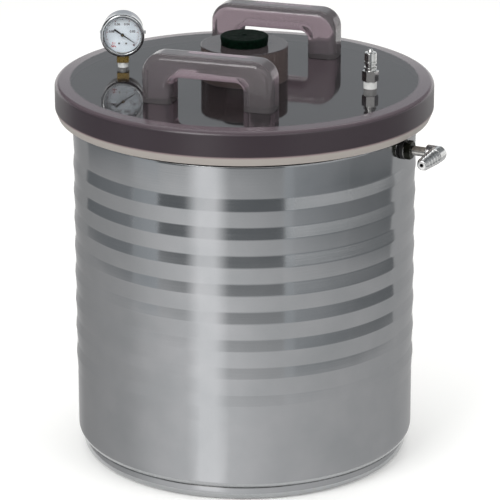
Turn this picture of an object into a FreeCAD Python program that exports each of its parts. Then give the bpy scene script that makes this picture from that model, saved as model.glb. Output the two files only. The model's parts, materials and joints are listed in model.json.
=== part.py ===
import FreeCAD, Part
import math
import os
import Sketcher
from FreeCAD import Placement, Rotation, Vector

# Suction filter tank. The origin is the centre of the tank's underside, on the floor, with +Z up.
# +X runs along the lid's handles towards the coupler plug. Lengths are in millimetres, angles in degrees.
driving_sizes = {
    # Tank
    "wall_radius": 172.5,
    "shell_wall": 1.5,
    "tank_height": 351.0,
    "foot_inset": 5.5,
    "foot_height": 13.0,
    "foot_edge_radius": 8.0,
    "pan_wall": 2.0,
    "lower_bend_radius": 16.0,
    "rim_bend_radius": 3.5,
    "rim_flange_width": 10.0,
    "rib_count": 8,
    "rib_pitch": 28.8,
    "rib_height": 1.0,
    "top_rib_drop": 47.0,
    # Lid, its gasket and the neck
    "lid_overhang": 14.4,
    "lid_thickness": 36.8,
    "lid_lower_round": 3.0,
    "lid_upper_round": 5.0,
    "gasket_overlap": 3.5,
    "gasket_width": 12.0,
    "gasket_thickness": 5.0,
    "gasket_proud": 1.6,
    "groove_slack": 0.2,
    "neck_radius": 43.7,
    "neck_height": 35.0,
    "neck_edge_round": 0.8,
    # Stopper
    "stopper_top_radius": 24.0,
    "stopper_end_radius": 20.5,
    "stopper_length": 38.0,
    "stopper_stand": 9.0,
    "stopper_edge_break": 0.7,
    "stopper_dimple_radius": 2.2,
    "stopper_dimple_depth": 0.8,
    "seat_clearance": 0.12,
    # Handles
    "handle_length": 134.0,
    "handle_height": 50.0,
    "handle_depth": 30.0,
    "handle_leg": 30.0,
    "handle_bar": 23.0,
    "handle_outer_round": 20.0,
    "handle_inner_round": 8.0,
    "handle_edge_round": 7.0,
    "handle_inset": 86.9,
    # Vacuum gauge: case and dial
    "gauge_inset": 60.4,
    "gauge_turn": 18.6,
    "dial_level": 35.0,
    "case_radius": 20.5,
    "case_wall": 1.0,
    "case_back": 15.5,
    "case_front": 9.0,
    "case_edge_round": 1.6,
    "bezel_radius": 21.7,
    "bezel_opening": 18.3,
    "bezel_lip": 1.5,
    "bezel_skirt": 5.6,
    "bezel_edge_round": 0.9,
    "lug_radius": 1.7,
    "lug_reach": 2.6,
    "lug_back": 4.0,
    "window_thickness": 1.6,
    "fit_gap": 0.1,
    "dial_radius": 18.9,
    "dial_thickness": 0.5,
    "dial_hole_radius": 0.9,
    "screw_spread": 3.6,
    "screw_drop": 9.1,
    "screw_radius": 0.6,
    "screw_head_radius": 1.0,
    "screw_head_height": 0.6,
    "screw_length": 3.0,
    # Vacuum gauge: stem
    "stem_thread_radius": 4.85,
    "thread_depth": 15.0,
    "tape_wall": 0.5,
    "stem_tape_reach": 5.5,
    "stem_square": 12.0,
    "block_width": 11.0,
    "block_depth": 10.0,
    "block_top_drop": 8.5,
    "stem_bore_radius": 1.5,
    "stem_passage_radius": 2.5,
    # Vacuum gauge: tube and movement
    "tube_path_radius": 14.5,
    "tube_width": 5.0,
    "tube_flat": 2.0,
    "tube_round": 0.9,
    "tube_wall": 0.3,
    "tube_centre_back": 1.7,
    "tube_sweep": 225.0,
    "tube_slot_sweep": 60.0,
    "end_piece_sweep": 8.0,
    "end_piece_margin": 0.6,
    "link_layer": 1.3,
    "link_thickness": 0.4,
    "link_width": 2.0,
    "link_gap": 0.1,
    "plate_thickness": 0.8,
    "front_plate_back": 3.2,
    "back_plate_front": 2.2,
    "plate_left": 6.5,
    "plate_right": 11.5,
    "plate_top": 6.5,
    "pillar_radius": 0.8,
    "pillar_inset": 1.2,
    "pillar_rise": 2.4,
    "arbor_radius": 0.6,
    "arbor_stand": 0.4,
    "sector_boss_radius": 1.8,
    "running_clearance": 0.03,
    "gear_module": 0.3,
    "pinion_teeth": 12,
    "sector_teeth": 48,
    "sector_cut_teeth": 12,
    "pressure_angle": 25.0,
    "dedendum": 1.25,
    "flank_steps": 6,
    "gear_backlash": 0.05,
    "sector_thickness": 0.8,
    "pinion_width": 2.4,
    "tail_length": 4.0,
    "tail_angle": 30.0,
    "tail_pin_radius": 0.35,
    "pointer_angle": -34.5,
    "pointer_length": 15.6,
    "pointer_tail": 10.0,
    "pointer_tip_width": 0.4,
    "pointer_root_width": 1.3,
    "pointer_tail_width": 2.0,
    "pointer_thickness": 0.4,
    "pointer_hub_radius": 1.7,
    "pointer_hub_height": 1.2,
    "pointer_lift": 1.4,
    # Coupler plug
    "plug_inset": 59.9,
    "plug_side": 3.0,
    "plug_turn": -11.4,
    "plug_thread_radius": 6.1,
    "plug_tape_reach": 7.2,
    "plug_bore_radius": 2.2,
    "plug_passage_radius": 5.0,
    "plug_hexagon": 13.6,
    "plug_hexagon_height": 11.6,
    "plug_collar_radius": 6.6,
    "plug_collar_height": 0.9,
    "plug_flange_radius": 6.9,
    "plug_flange_height": 2.6,
    "plug_waist_height": 1.8,
    "plug_groove_radius": 4.9,
    "plug_groove_height": 3.4,
    "plug_nose_radius": 6.1,
    "plug_nose_height": 9.0,
    "plug_tip_radius": 2.9,
    "plug_tip_height": 3.4,
    # Side port
    "port_drop": 13.5,
    "port_turn": -7.4,
    "nipple_radius": 4.85,
    "nipple_bore_radius": 3.2,
    "nipple_inner_reach": 10.5,
    "wall_hole_gap": 0.25,
    "outer_seal_radius": 10.0,
    "seal_thickness": 3.0,
    "washer_radius": 9.0,
    "washer_thickness": 1.2,
    "port_hexagon": 17.0,
    "corner_start": 0.97,
    "corner_end": 1.17,
    "port_nut_height": 6.3,
    "elbow_start": 26.0,
    "elbow_socket_depth": 7.0,
    "elbow_centre": 38.0,
    "elbow_radius": 8.0,
    "elbow_edge_round": 1.0,
    "elbow_collar": 12.0,
    "elbow_passage_radius": 2.8,
    "barb_count": 5,
    "barb_pitch": 5.8,
    "barb_radius": 7.4,
    "barb_step": 0.45,
    "barb_root_radius": 4.5,
    "barb_neck": 1.5,
}

doc = FreeCAD.newDocument("SuctionFilterTank")
sheet = doc.addObject("Spreadsheet::Sheet", "Sizes")
parts = []


class Size:
    # A value together with the sheet formula that gives it
    def __init__(self, value, text):
        self.value = value
        self.text = text

    def __add__(self, other):
        other = as_size(other)
        return Size(self.value + other.value, "(%s + %s)" % (self.text, other.text))

    def __sub__(self, other):
        other = as_size(other)
        return Size(self.value - other.value, "(%s - %s)" % (self.text, other.text))

    def __mul__(self, other):
        other = as_size(other)
        return Size(self.value * other.value, "(%s * %s)" % (self.text, other.text))

    def __truediv__(self, other):
        other = as_size(other)
        return Size(self.value / other.value, "(%s / %s)" % (self.text, other.text))

    def __neg__(self):
        return Size(0, "0") - self


def as_size(item):
    return item if isinstance(item, Size) else Size(item, "%s" % item)


def fill_sheet():
    for row, (alias, value) in enumerate(driving_sizes.items(), start=1):
        sheet.set("A%d" % row, alias)
        sheet.set("B%d" % row, "%s" % value)
        sheet.setAlias("B%d" % row, alias)
    doc.recompute()


def size(alias):
    return Size(driving_sizes[alias], "Sizes.%s" % alias)


def value_of(alias):
    return driving_sizes[alias]


def new_body(label, place=None):
    body = doc.addObject("PartDesign::Body", label)
    body.Label = label
    if place is not None:
        body.Placement = place
    parts.append(body)
    return body


def add_shape(label, shape, place=None):
    feature = doc.addObject("Part::Feature", label)
    feature.Label = label
    feature.Shape = shape
    if place is not None:
        feature.Placement = place
    parts.append(feature)
    return feature


def new_sketch(body, name, role, level=None):
    # A sketch on one of the body's own origin planes, raised along the plane's normal by the level
    sketch = body.newObject("Sketcher::SketchObject", body.Label + "_" + name)
    plane = [item for item in body.Origin.OriginFeatures if item.Role == role][0]
    sketch.AttachmentSupport = [(plane, "")]
    sketch.MapMode = "FlatFace"
    if level is not None:
        level = as_size(level)
        sketch.AttachmentOffset = Placement(Vector(0, 0, level.value), Rotation())
        sketch.setExpression("AttachmentOffset.Base.z", level.text)
    return sketch


def pin_point(sketch, geometry, end, x, y):
    for kind, amount in (("DistanceX", x), ("DistanceY", y)):
        index = sketch.addConstraint(Sketcher.Constraint(kind, -1, 1, geometry, end, amount.value))
        sketch.setExpression("Constraints[%d]" % index, amount.text)


def direction(start, end):
    # -1, 0 or 1 along each axis, for a side that lies along one of them
    steps = []
    for first, second in zip(start[:2], end[:2]):
        change = second.value - first.value
        steps.append(0 if abs(change) < 1e-9 else math.copysign(1, change))
    return steps


def outline_vertices(corners):
    # Each plain corner gives one vertex, and each rounded one gives the two ends of its arc
    corners = [tuple(as_size(item) for item in corner) for corner in corners]
    vertices = []
    for index, corner in enumerate(corners):
        if len(corner) == 2:
            vertices.append((corner[0], corner[1], None))
            continue
        radius = corner[2]
        back = direction(corner, corners[index - 1])
        ahead = direction(corner, corners[(index + 1) % len(corners)])
        bend = (radius, back, ahead)
        vertices.append((corner[0] + radius * back[0], corner[1] + radius * back[1], bend))
        vertices.append((corner[0] + radius * ahead[0], corner[1] + radius * ahead[1], None))
    return vertices


def draw_outline(sketch, corners):
    # A closed outline. A corner is (x, y), or (x, y, radius) where two square sides meet in an arc.
    vertices = outline_vertices(corners)
    first_index = sketch.GeometryCount
    ends = []
    for index, (x, y, bend) in enumerate(vertices):
        next_x, next_y, _ = vertices[(index + 1) % len(vertices)]
        start = Vector(x.value, y.value, 0)
        end = Vector(next_x.value, next_y.value, 0)
        if bend is None:
            sketch.addGeometry(Part.LineSegment(start, end))
            ends.append((1, 2))
            continue
        radius, back, ahead = bend
        centre = start + Vector(ahead[0], ahead[1], 0) * radius.value
        turns_left = back[0] * ahead[1] - back[1] * ahead[0] < 0
        low, high = (start, end) if turns_left else (end, start)
        angles = [math.atan2(point.y - centre.y, point.x - centre.x) for point in (low, high)]
        circle = Part.Circle(centre, Vector(0, 0, 1), radius.value)
        sketch.addGeometry(Part.ArcOfCircle(circle, angles[0], angles[1]))
        ends.append((1, 2) if turns_left else (2, 1))
    count = len(vertices)
    for index in range(count):
        following = (index + 1) % count
        sketch.addConstraint(Sketcher.Constraint(
            "Coincident", first_index + index, ends[index][1], first_index + following, ends[following][0]))
    for index, (x, y, bend) in enumerate(vertices):
        pin_point(sketch, first_index + index, ends[index][0], x, y)
        if bend is not None:
            number = sketch.addConstraint(Sketcher.Constraint("Radius", first_index + index, bend[0].value))
            sketch.setExpression("Constraints[%d]" % number, bend[0].text)


def draw_circle(sketch, x, y, radius):
    x, y, radius = as_size(x), as_size(y), as_size(radius)
    circle = Part.Circle(Vector(x.value, y.value, 0), Vector(0, 0, 1), radius.value)
    index = sketch.addGeometry(circle)
    pin_point(sketch, index, 3, x, y)
    number = sketch.addConstraint(Sketcher.Constraint("Radius", index, radius.value))
    sketch.setExpression("Constraints[%d]" % number, radius.text)


def draw_hexagon(sketch, across_flats):
    # Two flats lie across the sketch's vertical axis
    half = across_flats / 2
    side = half / round(math.sqrt(3), 12)
    draw_outline(sketch, [
        (half, -side), (half, side), (0, side * 2), (-half, side), (-half, -side), (0, -(side * 2))])


def revolve(body, sketch, kind="PartDesign::Revolution", axis="V_Axis", angle=360):
    feature = body.newObject(kind, sketch.Name + "_turn")
    feature.Profile = sketch
    feature.ReferenceAxis = (sketch, [axis])
    angle = as_size(angle)
    feature.Angle = angle.value
    feature.setExpression("Angle", angle.text)
    return feature


def add_axis(sketch, level):
    # A horizontal construction line, used as the axis that the sketch's profile turns about
    length = as_size(10)
    index = sketch.addGeometry(
        Part.LineSegment(Vector(0, level.value, 0), Vector(length.value, level.value, 0)), True)
    pin_point(sketch, index, 1, as_size(0), level)
    pin_point(sketch, index, 2, length, level)


def pad(body, sketch, length, middle=False, kind="PartDesign::Pad"):
    feature = body.newObject(kind, sketch.Name + "_length")
    feature.Profile = sketch
    length = as_size(length)
    feature.Length = length.value
    feature.setExpression("Length", length.text)
    feature.Midplane = middle
    return feature


def turned(label, corners, place=None):
    # A piece turned about its own Z axis from a (radius, height) outline
    body = new_body(label, place)
    sketch = new_sketch(body, "profile", "XZ_Plane")
    draw_outline(sketch, corners)
    revolve(body, sketch)
    return body


def ring(label, inner, outer, bottom, top, place=None):
    return turned(label, [(inner, bottom), (outer, bottom), (outer, top), (inner, top)], place)


def drill(body, name, x, y, radius, start, depth):
    # A round hole cut down from the start level of the body's own frame
    sketch = new_sketch(body, name, "XY_Plane", start)
    draw_circle(sketch, x, y, radius)
    return pad(body, sketch, depth, kind="PartDesign::Pocket")


fill_sheet()

# Levels and radii that more than one piece shares
gasket_outer = size("wall_radius") + size("gasket_overlap")
gasket_inner = gasket_outer - size("gasket_width")
lid_radius = gasket_outer + size("lid_overhang")
gasket_top = size("tank_height") + size("gasket_thickness")
lid_bottom = size("tank_height") + size("gasket_proud")
lid_top = lid_bottom + size("lid_thickness")
neck_top = lid_top + size("neck_height")
stopper_taper = (size("stopper_top_radius") - size("stopper_end_radius")) / size("stopper_length")
seat_radius = size("stopper_top_radius") - stopper_taper * size("stopper_stand")
bore_radius = seat_radius + size("seat_clearance")
band_radius = size("wall_radius") + size("rib_height")
stem_tape_radius = size("stem_thread_radius") + size("tape_wall")
plug_tape_radius = size("plug_thread_radius") + size("tape_wall")
dial_back = size("block_depth") / 2
dial_front = dial_back + size("dial_thickness")
pointer_level = dial_front + size("pointer_lift")
block_top = -size("block_top_drop")
sector_distance = size("gear_module") * (size("pinion_teeth") + size("sector_teeth")) / 2
port_wall = band_radius
gauge_offset = lid_radius - size("gauge_inset")
plug_offset = lid_radius - size("plug_inset")
handle_offset = lid_radius - size("handle_inset")
port_level = size("tank_height") - size("port_drop")

# Frames of the gauge, of its dial (x right, y up, z out of the dial) and of the side port (z out of the tank)
gauge_place = Placement(
    Vector(-gauge_offset.value, 0, lid_top.value), Rotation(Vector(0, 0, 1), value_of("gauge_turn")))
dial_place = gauge_place * Placement(Vector(0, 0, value_of("dial_level")), Rotation(Vector(1, 0, 0), 90))
port_place = Placement(
    Vector(0, 0, port_level.value), Rotation(Vector(0, 0, 1), value_of("port_turn"))
) * Placement(Vector(0, 0, 0), Rotation(Vector(0, 1, 0), 90))
plug_place = Placement(
    Vector(plug_offset.value, value_of("plug_side"), lid_top.value),
    Rotation(Vector(0, 0, 1), value_of("plug_turn")))


def arc_edge(centre_radius, centre_level, radius, start, end):
    # An arc in the XZ plane from one angle to another
    points = []
    for angle in (start, (start + end) / 2, end):
        turn = math.radians(angle)
        points.append(Vector(
            centre_radius + radius * math.cos(turn), 0, centre_level + radius * math.sin(turn)))
    return Part.Arc(*points).toShape()


def line_edge(start, end):
    return Part.LineSegment(Vector(start[0], 0, start[1]), Vector(end[0], 0, end[1])).toShape()


def shell_wall_edges(inset):
    # One face of the sheet from the lower edge to the rim: inset 0 is the outside
    wall = value_of("wall_radius") - inset
    peak = wall + value_of("rib_height")
    bend = value_of("lower_bend_radius")
    neck_in = value_of("foot_inset")
    foot = value_of("foot_height")
    bend_level = foot + math.sqrt(bend ** 2 - (bend - neck_in) ** 2)
    pitch = value_of("rib_pitch")
    height = value_of("rib_height")
    arc = ((pitch / 4) ** 2 + (height / 2) ** 2) / height
    slope = math.degrees(math.asin(pitch / 4 / arc))
    valley_centre = value_of("wall_radius") + arc
    peak_centre = value_of("wall_radius") + height - arc
    top_rib = value_of("tank_height") - value_of("top_rib_drop")
    level = top_rib - (value_of("rib_count") - 0.5) * pitch
    foot_angle = math.degrees(math.asin((bend_level - foot) / (bend - inset)))
    edges = [arc_edge(value_of("wall_radius") - bend, bend_level, bend - inset, -foot_angle, 0)]
    edges.append(line_edge((wall, bend_level), (wall, level)))
    edges.append(arc_edge(valley_centre, level, arc + inset, 180, 180 - slope))
    for _ in range(int(value_of("rib_count"))):
        edges.append(arc_edge(peak_centre, level + pitch / 2, arc - inset, -slope, slope))
        level += pitch
        edges.append(arc_edge(valley_centre, level, arc + inset, 180 + slope, 180 - slope))
    edges.append(arc_edge(peak_centre, level + pitch / 2, arc - inset, -slope, 0))
    rim_bend = value_of("rim_bend_radius")
    bend_bottom = value_of("tank_height") - rim_bend
    bend_centre = band_radius.value - rim_bend
    edges.append(line_edge((peak, level + pitch / 2), (peak, bend_bottom)))
    edges.append(arc_edge(bend_centre, bend_bottom, rim_bend - inset, 0, 90))
    rim = value_of("tank_height") - inset
    edges.append(line_edge((bend_centre, rim), (band_radius.value - value_of("rim_flange_width"), rim)))
    return edges


def build_tank_shell():
    outside = shell_wall_edges(0)
    inside = shell_wall_edges(value_of("shell_wall"))
    ends = [Part.LineSegment(a.Vertexes[i].Point, b.Vertexes[i].Point).toShape()
            for a, b, i in ((outside[0], inside[0], 0), (outside[-1], inside[-1], -1))]
    profile = Part.Wire(Part.__sortEdges__(outside + inside + ends))
    shell = Part.Face(profile).revolve(Vector(0, 0, 0), Vector(0, 0, 1), 360)
    depth = value_of("wall_radius") / 4
    hole = Part.makeCylinder(value_of("nipple_radius") + value_of("wall_hole_gap"), depth)
    hole.Placement = port_place * Placement(Vector(0, 0, port_wall.value - depth / 2), Rotation())
    add_shape("tank_shell", shell.cut(hole))


def build_tank_bottom():
    foot, wall = size("wall_radius") - size("foot_inset"), size("pan_wall")
    bend, top = size("foot_edge_radius"), size("foot_height")
    turned("tank_bottom", [
        (0, 0), (foot, 0, bend), (foot, top), (foot - wall, top), (foot - wall, wall, bend - wall),
        (0, wall)])


def build_lid():
    slack = size("groove_slack")
    groove_outer = gasket_outer + slack
    body = turned("lid_plate", [
        (bore_radius, lid_bottom), (gasket_inner - slack, lid_bottom), (gasket_inner - slack, gasket_top),
        (groove_outer, gasket_top), (groove_outer, lid_bottom),
        (lid_radius, lid_bottom, size("lid_lower_round")),
        (lid_radius, lid_top, size("lid_upper_round")), (bore_radius, lid_top)])
    x, y = -gauge_offset, 0
    drill(body, "gauge_thread", x, y, stem_tape_radius, lid_top, size("thread_depth"))
    drill(body, "gauge_passage", x, y, size("stem_passage_radius"), lid_top, size("lid_thickness"))
    x, y = plug_offset, size("plug_side")
    drill(body, "plug_thread", x, y, plug_tape_radius, lid_top, size("thread_depth"))
    drill(body, "plug_passage", x, y, size("plug_passage_radius"), lid_top, size("lid_thickness"))
    ring("lid_gasket", gasket_inner, gasket_outer, size("tank_height"), gasket_top)


def build_neck():
    turned("neck_boss", [
        (bore_radius, lid_top), (size("neck_radius"), lid_top),
        (size("neck_radius"), neck_top, size("neck_edge_round")), (bore_radius, neck_top)])


def build_stopper():
    top = neck_top + size("stopper_stand")
    edge = size("stopper_edge_break")
    dimple = size("stopper_dimple_radius")
    floor = top - size("stopper_dimple_depth")
    turned("stopper", [
        (0, top - size("stopper_length")), (size("stopper_end_radius"), top - size("stopper_length")),
        (size("stopper_top_radius"), top - edge), (size("stopper_top_radius") - edge, top),
        (dimple, top), (dimple, floor), (0, floor)])


def build_handle(label, side):
    place = Placement(Vector(0, side * handle_offset.value, lid_top.value), Rotation())
    body = new_body(label, place)
    half = size("handle_length") / 2
    inner = half - size("handle_leg")
    height, opening = size("handle_height"), size("handle_height") - size("handle_bar")
    outer_round, inner_round = size("handle_outer_round"), size("handle_inner_round")
    sketch = new_sketch(body, "profile", "XZ_Plane")
    draw_outline(sketch, [
        (half, 0), (half, height, outer_round), (-half, height, outer_round), (-half, 0),
        (-inner, 0), (-inner, opening, inner_round), (inner, opening, inner_round), (inner, 0)])
    block = pad(body, sketch, size("handle_depth"), middle=True)
    doc.recompute()
    reach = value_of("handle_depth") / 2
    names = []
    for index, edge in enumerate(block.Shape.Edges, start=1):
        box = edge.BoundBox
        on_face = box.YLength < 1e-6 and abs(abs(box.YMin) - reach) < 1e-6
        if on_face and box.ZMax > 1e-6:
            names.append("Edge%d" % index)
    rounding = body.newObject("PartDesign::Fillet", label + "_edges")
    rounding.Base = (block, names)
    rounding.Radius = value_of("handle_edge_round")
    rounding.setExpression("Radius", size("handle_edge_round").text)


def build_gauge_case():
    radius, wall = size("case_radius"), size("case_wall")
    back, front = -size("case_back"), size("case_front")
    body = turned("gauge_case", [
        (0, back), (radius, back, size("case_edge_round")), (radius, front), (radius - wall, front),
        (radius - wall, back + wall), (0, back + wall)], dial_place)
    slot = new_sketch(body, "stem_slot", "XZ_Plane")
    side, depth = size("block_width") / 2 + size("fit_gap"), size("block_depth") / 2 + size("fit_gap")
    draw_outline(slot, [(side, -depth), (side, depth), (-side, depth), (-side, -depth)])
    cut = pad(body, slot, radius * 2, kind="PartDesign::Pocket")
    cut.Reversed = True
    start, length = radius - wall / 2, wall / 2 + size("lug_reach")
    for name, level in (("right", start), ("left", -(start + length))):
        lug = new_sketch(body, name + "_lug", "YZ_Plane", level)
        draw_circle(lug, 0, -size("lug_back"), size("lug_radius"))
        pad(body, lug, length)

    bezel_front = front + size("window_thickness") + size("bezel_lip")
    skirt_inner = radius + size("fit_gap")
    outer, edge = size("bezel_radius"), size("bezel_edge_round")
    opening = size("bezel_opening")
    lip_back = bezel_front - size("bezel_lip")
    skirt_back = lip_back - size("bezel_skirt")
    turned("gauge_bezel", [
        (opening, lip_back), (skirt_inner, lip_back), (skirt_inner, skirt_back), (outer, skirt_back),
        (outer, bezel_front, edge), (opening, bezel_front)], dial_place)
    rim = radius - size("fit_gap")
    turned("gauge_window", [(0, front), (rim, front), (rim, lip_back), (0, lip_back)], dial_place)


def build_gauge_dial():
    hole = size("dial_hole_radius")
    body = ring("gauge_dial", hole, size("dial_radius"), dial_back, dial_front, dial_place)
    screws = new_body("dial_screws", dial_place)
    heads = new_sketch(screws, "heads", "XY_Plane", dial_front)
    shanks = new_sketch(screws, "shanks", "XY_Plane", dial_front)
    for side in (1, -1):
        x, y = size("screw_spread") * side, -size("screw_drop")
        name = "right_screw" if side > 0 else "left_screw"
        drill(body, name, x, y, size("screw_radius"), dial_front, size("dial_thickness"))
        draw_circle(heads, x, y, size("screw_head_radius"))
        draw_circle(shanks, x, y, size("screw_radius"))
    screws.AllowCompound = True
    pad(screws, heads, size("screw_head_height"))
    shank = pad(screws, shanks, size("screw_length"))
    shank.Reversed = True


def oval(sketch, margin):
    # The flattened tube's section, where the path crosses the plane below the dial's centre
    half_width = size("tube_width") / 2 - margin
    half_flat = size("tube_flat") / 2 - margin
    across, along = size("tube_centre_back"), size("dial_level") - size("tube_path_radius")
    bend = size("tube_round") - margin
    draw_outline(sketch, [
        (across + half_width, along - half_flat, bend), (across + half_width, along + half_flat, bend),
        (across - half_width, along + half_flat, bend), (across - half_width, along - half_flat, bend)])


def build_gauge_stem():
    body = new_body("gauge_stem", gauge_place)
    square_top = size("dial_level") - size("bezel_radius") - size("fit_gap")
    shank = new_sketch(body, "shank", "XY_Plane", -size("thread_depth"))
    draw_circle(shank, 0, 0, size("stem_thread_radius"))
    pad(body, shank, size("thread_depth") + size("stem_tape_reach"))
    flats = new_sketch(body, "flats", "XY_Plane", size("stem_tape_reach"))
    half = size("stem_square") / 2
    draw_outline(flats, [(half, -half), (half, half), (-half, half), (-half, -half)])
    pad(body, flats, square_top - size("stem_tape_reach"))
    block = new_sketch(body, "block", "XY_Plane", square_top)
    side, depth = size("block_width") / 2, size("block_depth") / 2
    draw_outline(block, [(side, -depth), (side, depth), (-side, depth), (-side, -depth)])
    pad(body, block, size("dial_level") + block_top - square_top)
    bore_top = size("dial_level") - size("tube_path_radius")
    drill(body, "bore", 0, 0, size("stem_bore_radius"), bore_top, bore_top + size("thread_depth"))
    slot = new_sketch(body, "tube_slot", "YZ_Plane")
    oval(slot, 0)
    add_axis(slot, size("dial_level"))
    revolve(body, slot, "PartDesign::Groove", "Axis0", size("tube_slot_sweep"))
    holes = new_sketch(body, "screw_holes", "XZ_Plane", dial_back)
    for side in (1, -1):
        level = size("dial_level") - size("screw_drop")
        draw_circle(holes, size("screw_spread") * side, level, size("screw_radius"))
    pad(body, holes, size("screw_length") - size("dial_thickness"), kind="PartDesign::Pocket")
    ring("gauge_seal_tape", size("stem_thread_radius"), stem_tape_radius, -size("thread_depth"),
         size("stem_tape_reach"), gauge_place)


def build_tube():
    body = new_body("bourdon_tube", gauge_place)
    section = new_sketch(body, "section", "YZ_Plane")
    oval(section, 0)
    oval(section, size("tube_wall"))
    add_axis(section, size("dial_level"))
    revolve(body, section, axis="Axis0", angle=size("tube_sweep"))


def build_tube_end():
    # A solid block that closes the tube's end, with a blind eye for the link
    path, margin = value_of("tube_path_radius"), value_of("end_piece_margin")
    half = value_of("tube_flat") / 2 + margin
    back = -(value_of("tube_centre_back") + value_of("tube_width") / 2 + margin)
    front = value_of("link_layer") - value_of("link_gap")
    base, out = Vector(0, 0, back), Vector(0, 0, 1)
    block = Part.makeCylinder(path + half, front - back, base, out, value_of("end_piece_sweep"))
    block = block.cut(Part.makeCylinder(path - half, front - back, base, out))
    turn = math.radians(value_of("end_piece_sweep") / 2)
    eye_place = Vector(path * math.cos(turn), path * math.sin(turn), front - margin)
    block = block.cut(Part.makeCylinder(value_of("tail_pin_radius"), margin, eye_place))
    start = Placement(Vector(0, 0, 0), Rotation(Vector(0, 0, 1), end_piece_angle()))
    add_shape("tube_end_piece", block, dial_place * start)


def end_piece_angle():
    # Where the end piece begins, counted from the dial's x axis: the tube runs clockwise from the bottom
    return 270 - value_of("tube_sweep") - value_of("end_piece_sweep")


def link_points():
    # The link's lower pivot on the sector's tail and its upper eye at the tube's end, in the dial's frame
    tail = math.radians(value_of("tail_angle"))
    pivot = Vector(sector_distance.value, 0, 0)
    lower = pivot + Vector(math.cos(tail), math.sin(tail), 0) * value_of("tail_length")
    eye = math.radians(end_piece_angle() + value_of("end_piece_sweep") / 2)
    upper = Vector(math.cos(eye), math.sin(eye), 0) * value_of("tube_path_radius")
    return lower, upper


def strip(start, end, width, thickness):
    # A flat bar with round ends between two points of the plane z = 0
    along = end - start
    body = Part.makeBox(along.Length, width, thickness, Vector(0, -width / 2, 0))
    for x in (0, along.Length):
        body = body.fuse(Part.makeCylinder(width / 2, thickness, Vector(x, 0, 0)))
    body.Placement = Placement(start, Rotation(Vector(1, 0, 0), along))
    return body.removeSplitter()


def build_link():
    lower, upper = link_points()
    link = strip(lower, upper, value_of("link_width"), value_of("link_thickness"))
    hole = value_of("tail_pin_radius") + value_of("running_clearance")
    for point in (lower, upper):
        link = link.cut(Part.makeCylinder(hole, value_of("link_thickness"), point))
    add_shape("gauge_link", link, dial_place * Placement(Vector(0, 0, value_of("link_layer")), Rotation()))


def involute(angle):
    return math.tan(angle) - angle


def tooth_points(teeth, centre_angle):
    # One tooth's outline, counter-clockwise: root, flank, tip, flank, root
    module = value_of("gear_module")
    pressure = math.radians(value_of("pressure_angle"))
    pitch = module * teeth / 2
    base = pitch * math.cos(pressure)
    root, tip = pitch - value_of("dedendum") * module, pitch + module
    half_at_pitch = math.pi / (2 * teeth) - value_of("gear_backlash") / (2 * pitch)
    steps = int(value_of("flank_steps"))
    flank = []
    for step in range(steps + 1):
        radius = max(base, root) + (tip - max(base, root)) * step / steps
        turn = half_at_pitch + involute(pressure) - involute(math.acos(min(1, base / radius)))
        flank.append((radius, turn))
    if root < base:
        flank.insert(0, (root, flank[0][1]))
    ordered = [(radius, -turn) for radius, turn in flank] + flank[::-1]
    points = []
    for radius, turn in ordered:
        angle = centre_angle + turn
        points.append(Vector(radius * math.cos(angle), radius * math.sin(angle), 0))
    return points


def extruded(points, thickness):
    return Part.Face(Part.makePolygon(points + [points[0]])).extrude(Vector(0, 0, thickness))


def build_pinion():
    teeth = int(value_of("pinion_teeth"))
    points = []
    for index in range(teeth):
        points += tooth_points(teeth, math.pi * (2 * index + 1) / teeth)
    gear = extruded(points, value_of("pinion_width"))
    sector_middle = value_of("link_layer") - value_of("link_gap") - value_of("sector_thickness") / 2
    gear.translate(Vector(0, 0, sector_middle - value_of("pinion_width") / 2))
    back = -(value_of("back_plate_front") + value_of("plate_thickness") + value_of("arbor_stand"))
    front = (pointer_level + size("pointer_hub_height")).value
    arbor = Part.makeCylinder(value_of("arbor_radius"), front - back, Vector(0, 0, back))
    add_shape("pinion", gear.fuse(arbor).removeSplitter(), dial_place)


def build_sector():
    teeth = int(value_of("sector_teeth"))
    cut = int(value_of("sector_cut_teeth"))
    step = 2 * math.pi / teeth
    points = [Vector(0, 0, 0)]
    for index in range(-1, cut - 1):
        points += tooth_points(teeth, math.pi + index * step)
    thickness = value_of("sector_thickness")
    plate = extruded(points, thickness)
    arbor_radius = value_of("arbor_radius")
    plate = plate.fuse(Part.makeCylinder(value_of("sector_boss_radius"), thickness))
    tail_angle = math.radians(value_of("tail_angle"))
    tail_end = Vector(math.cos(tail_angle), math.sin(tail_angle), 0) * value_of("tail_length")
    plate = plate.fuse(strip(Vector(0, 0, 0), tail_end, value_of("link_width"), thickness))
    level = value_of("link_layer") - value_of("link_gap") - thickness
    pin_height = thickness + value_of("link_gap") + value_of("link_thickness") + value_of("link_gap")
    plate = plate.fuse(Part.makeCylinder(value_of("tail_pin_radius"), pin_height, tail_end))
    plate.translate(Vector(0, 0, level))
    stand = value_of("plate_thickness") + value_of("arbor_stand")
    back, front = -(value_of("back_plate_front") + stand), value_of("front_plate_back") + stand
    arbor = Part.makeCylinder(arbor_radius, front - back, Vector(0, 0, back))
    sector = plate.fuse(arbor).removeSplitter()
    add_shape("sector_gear", sector, dial_place * Placement(Vector(sector_distance.value, 0, 0), Rotation()))


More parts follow.
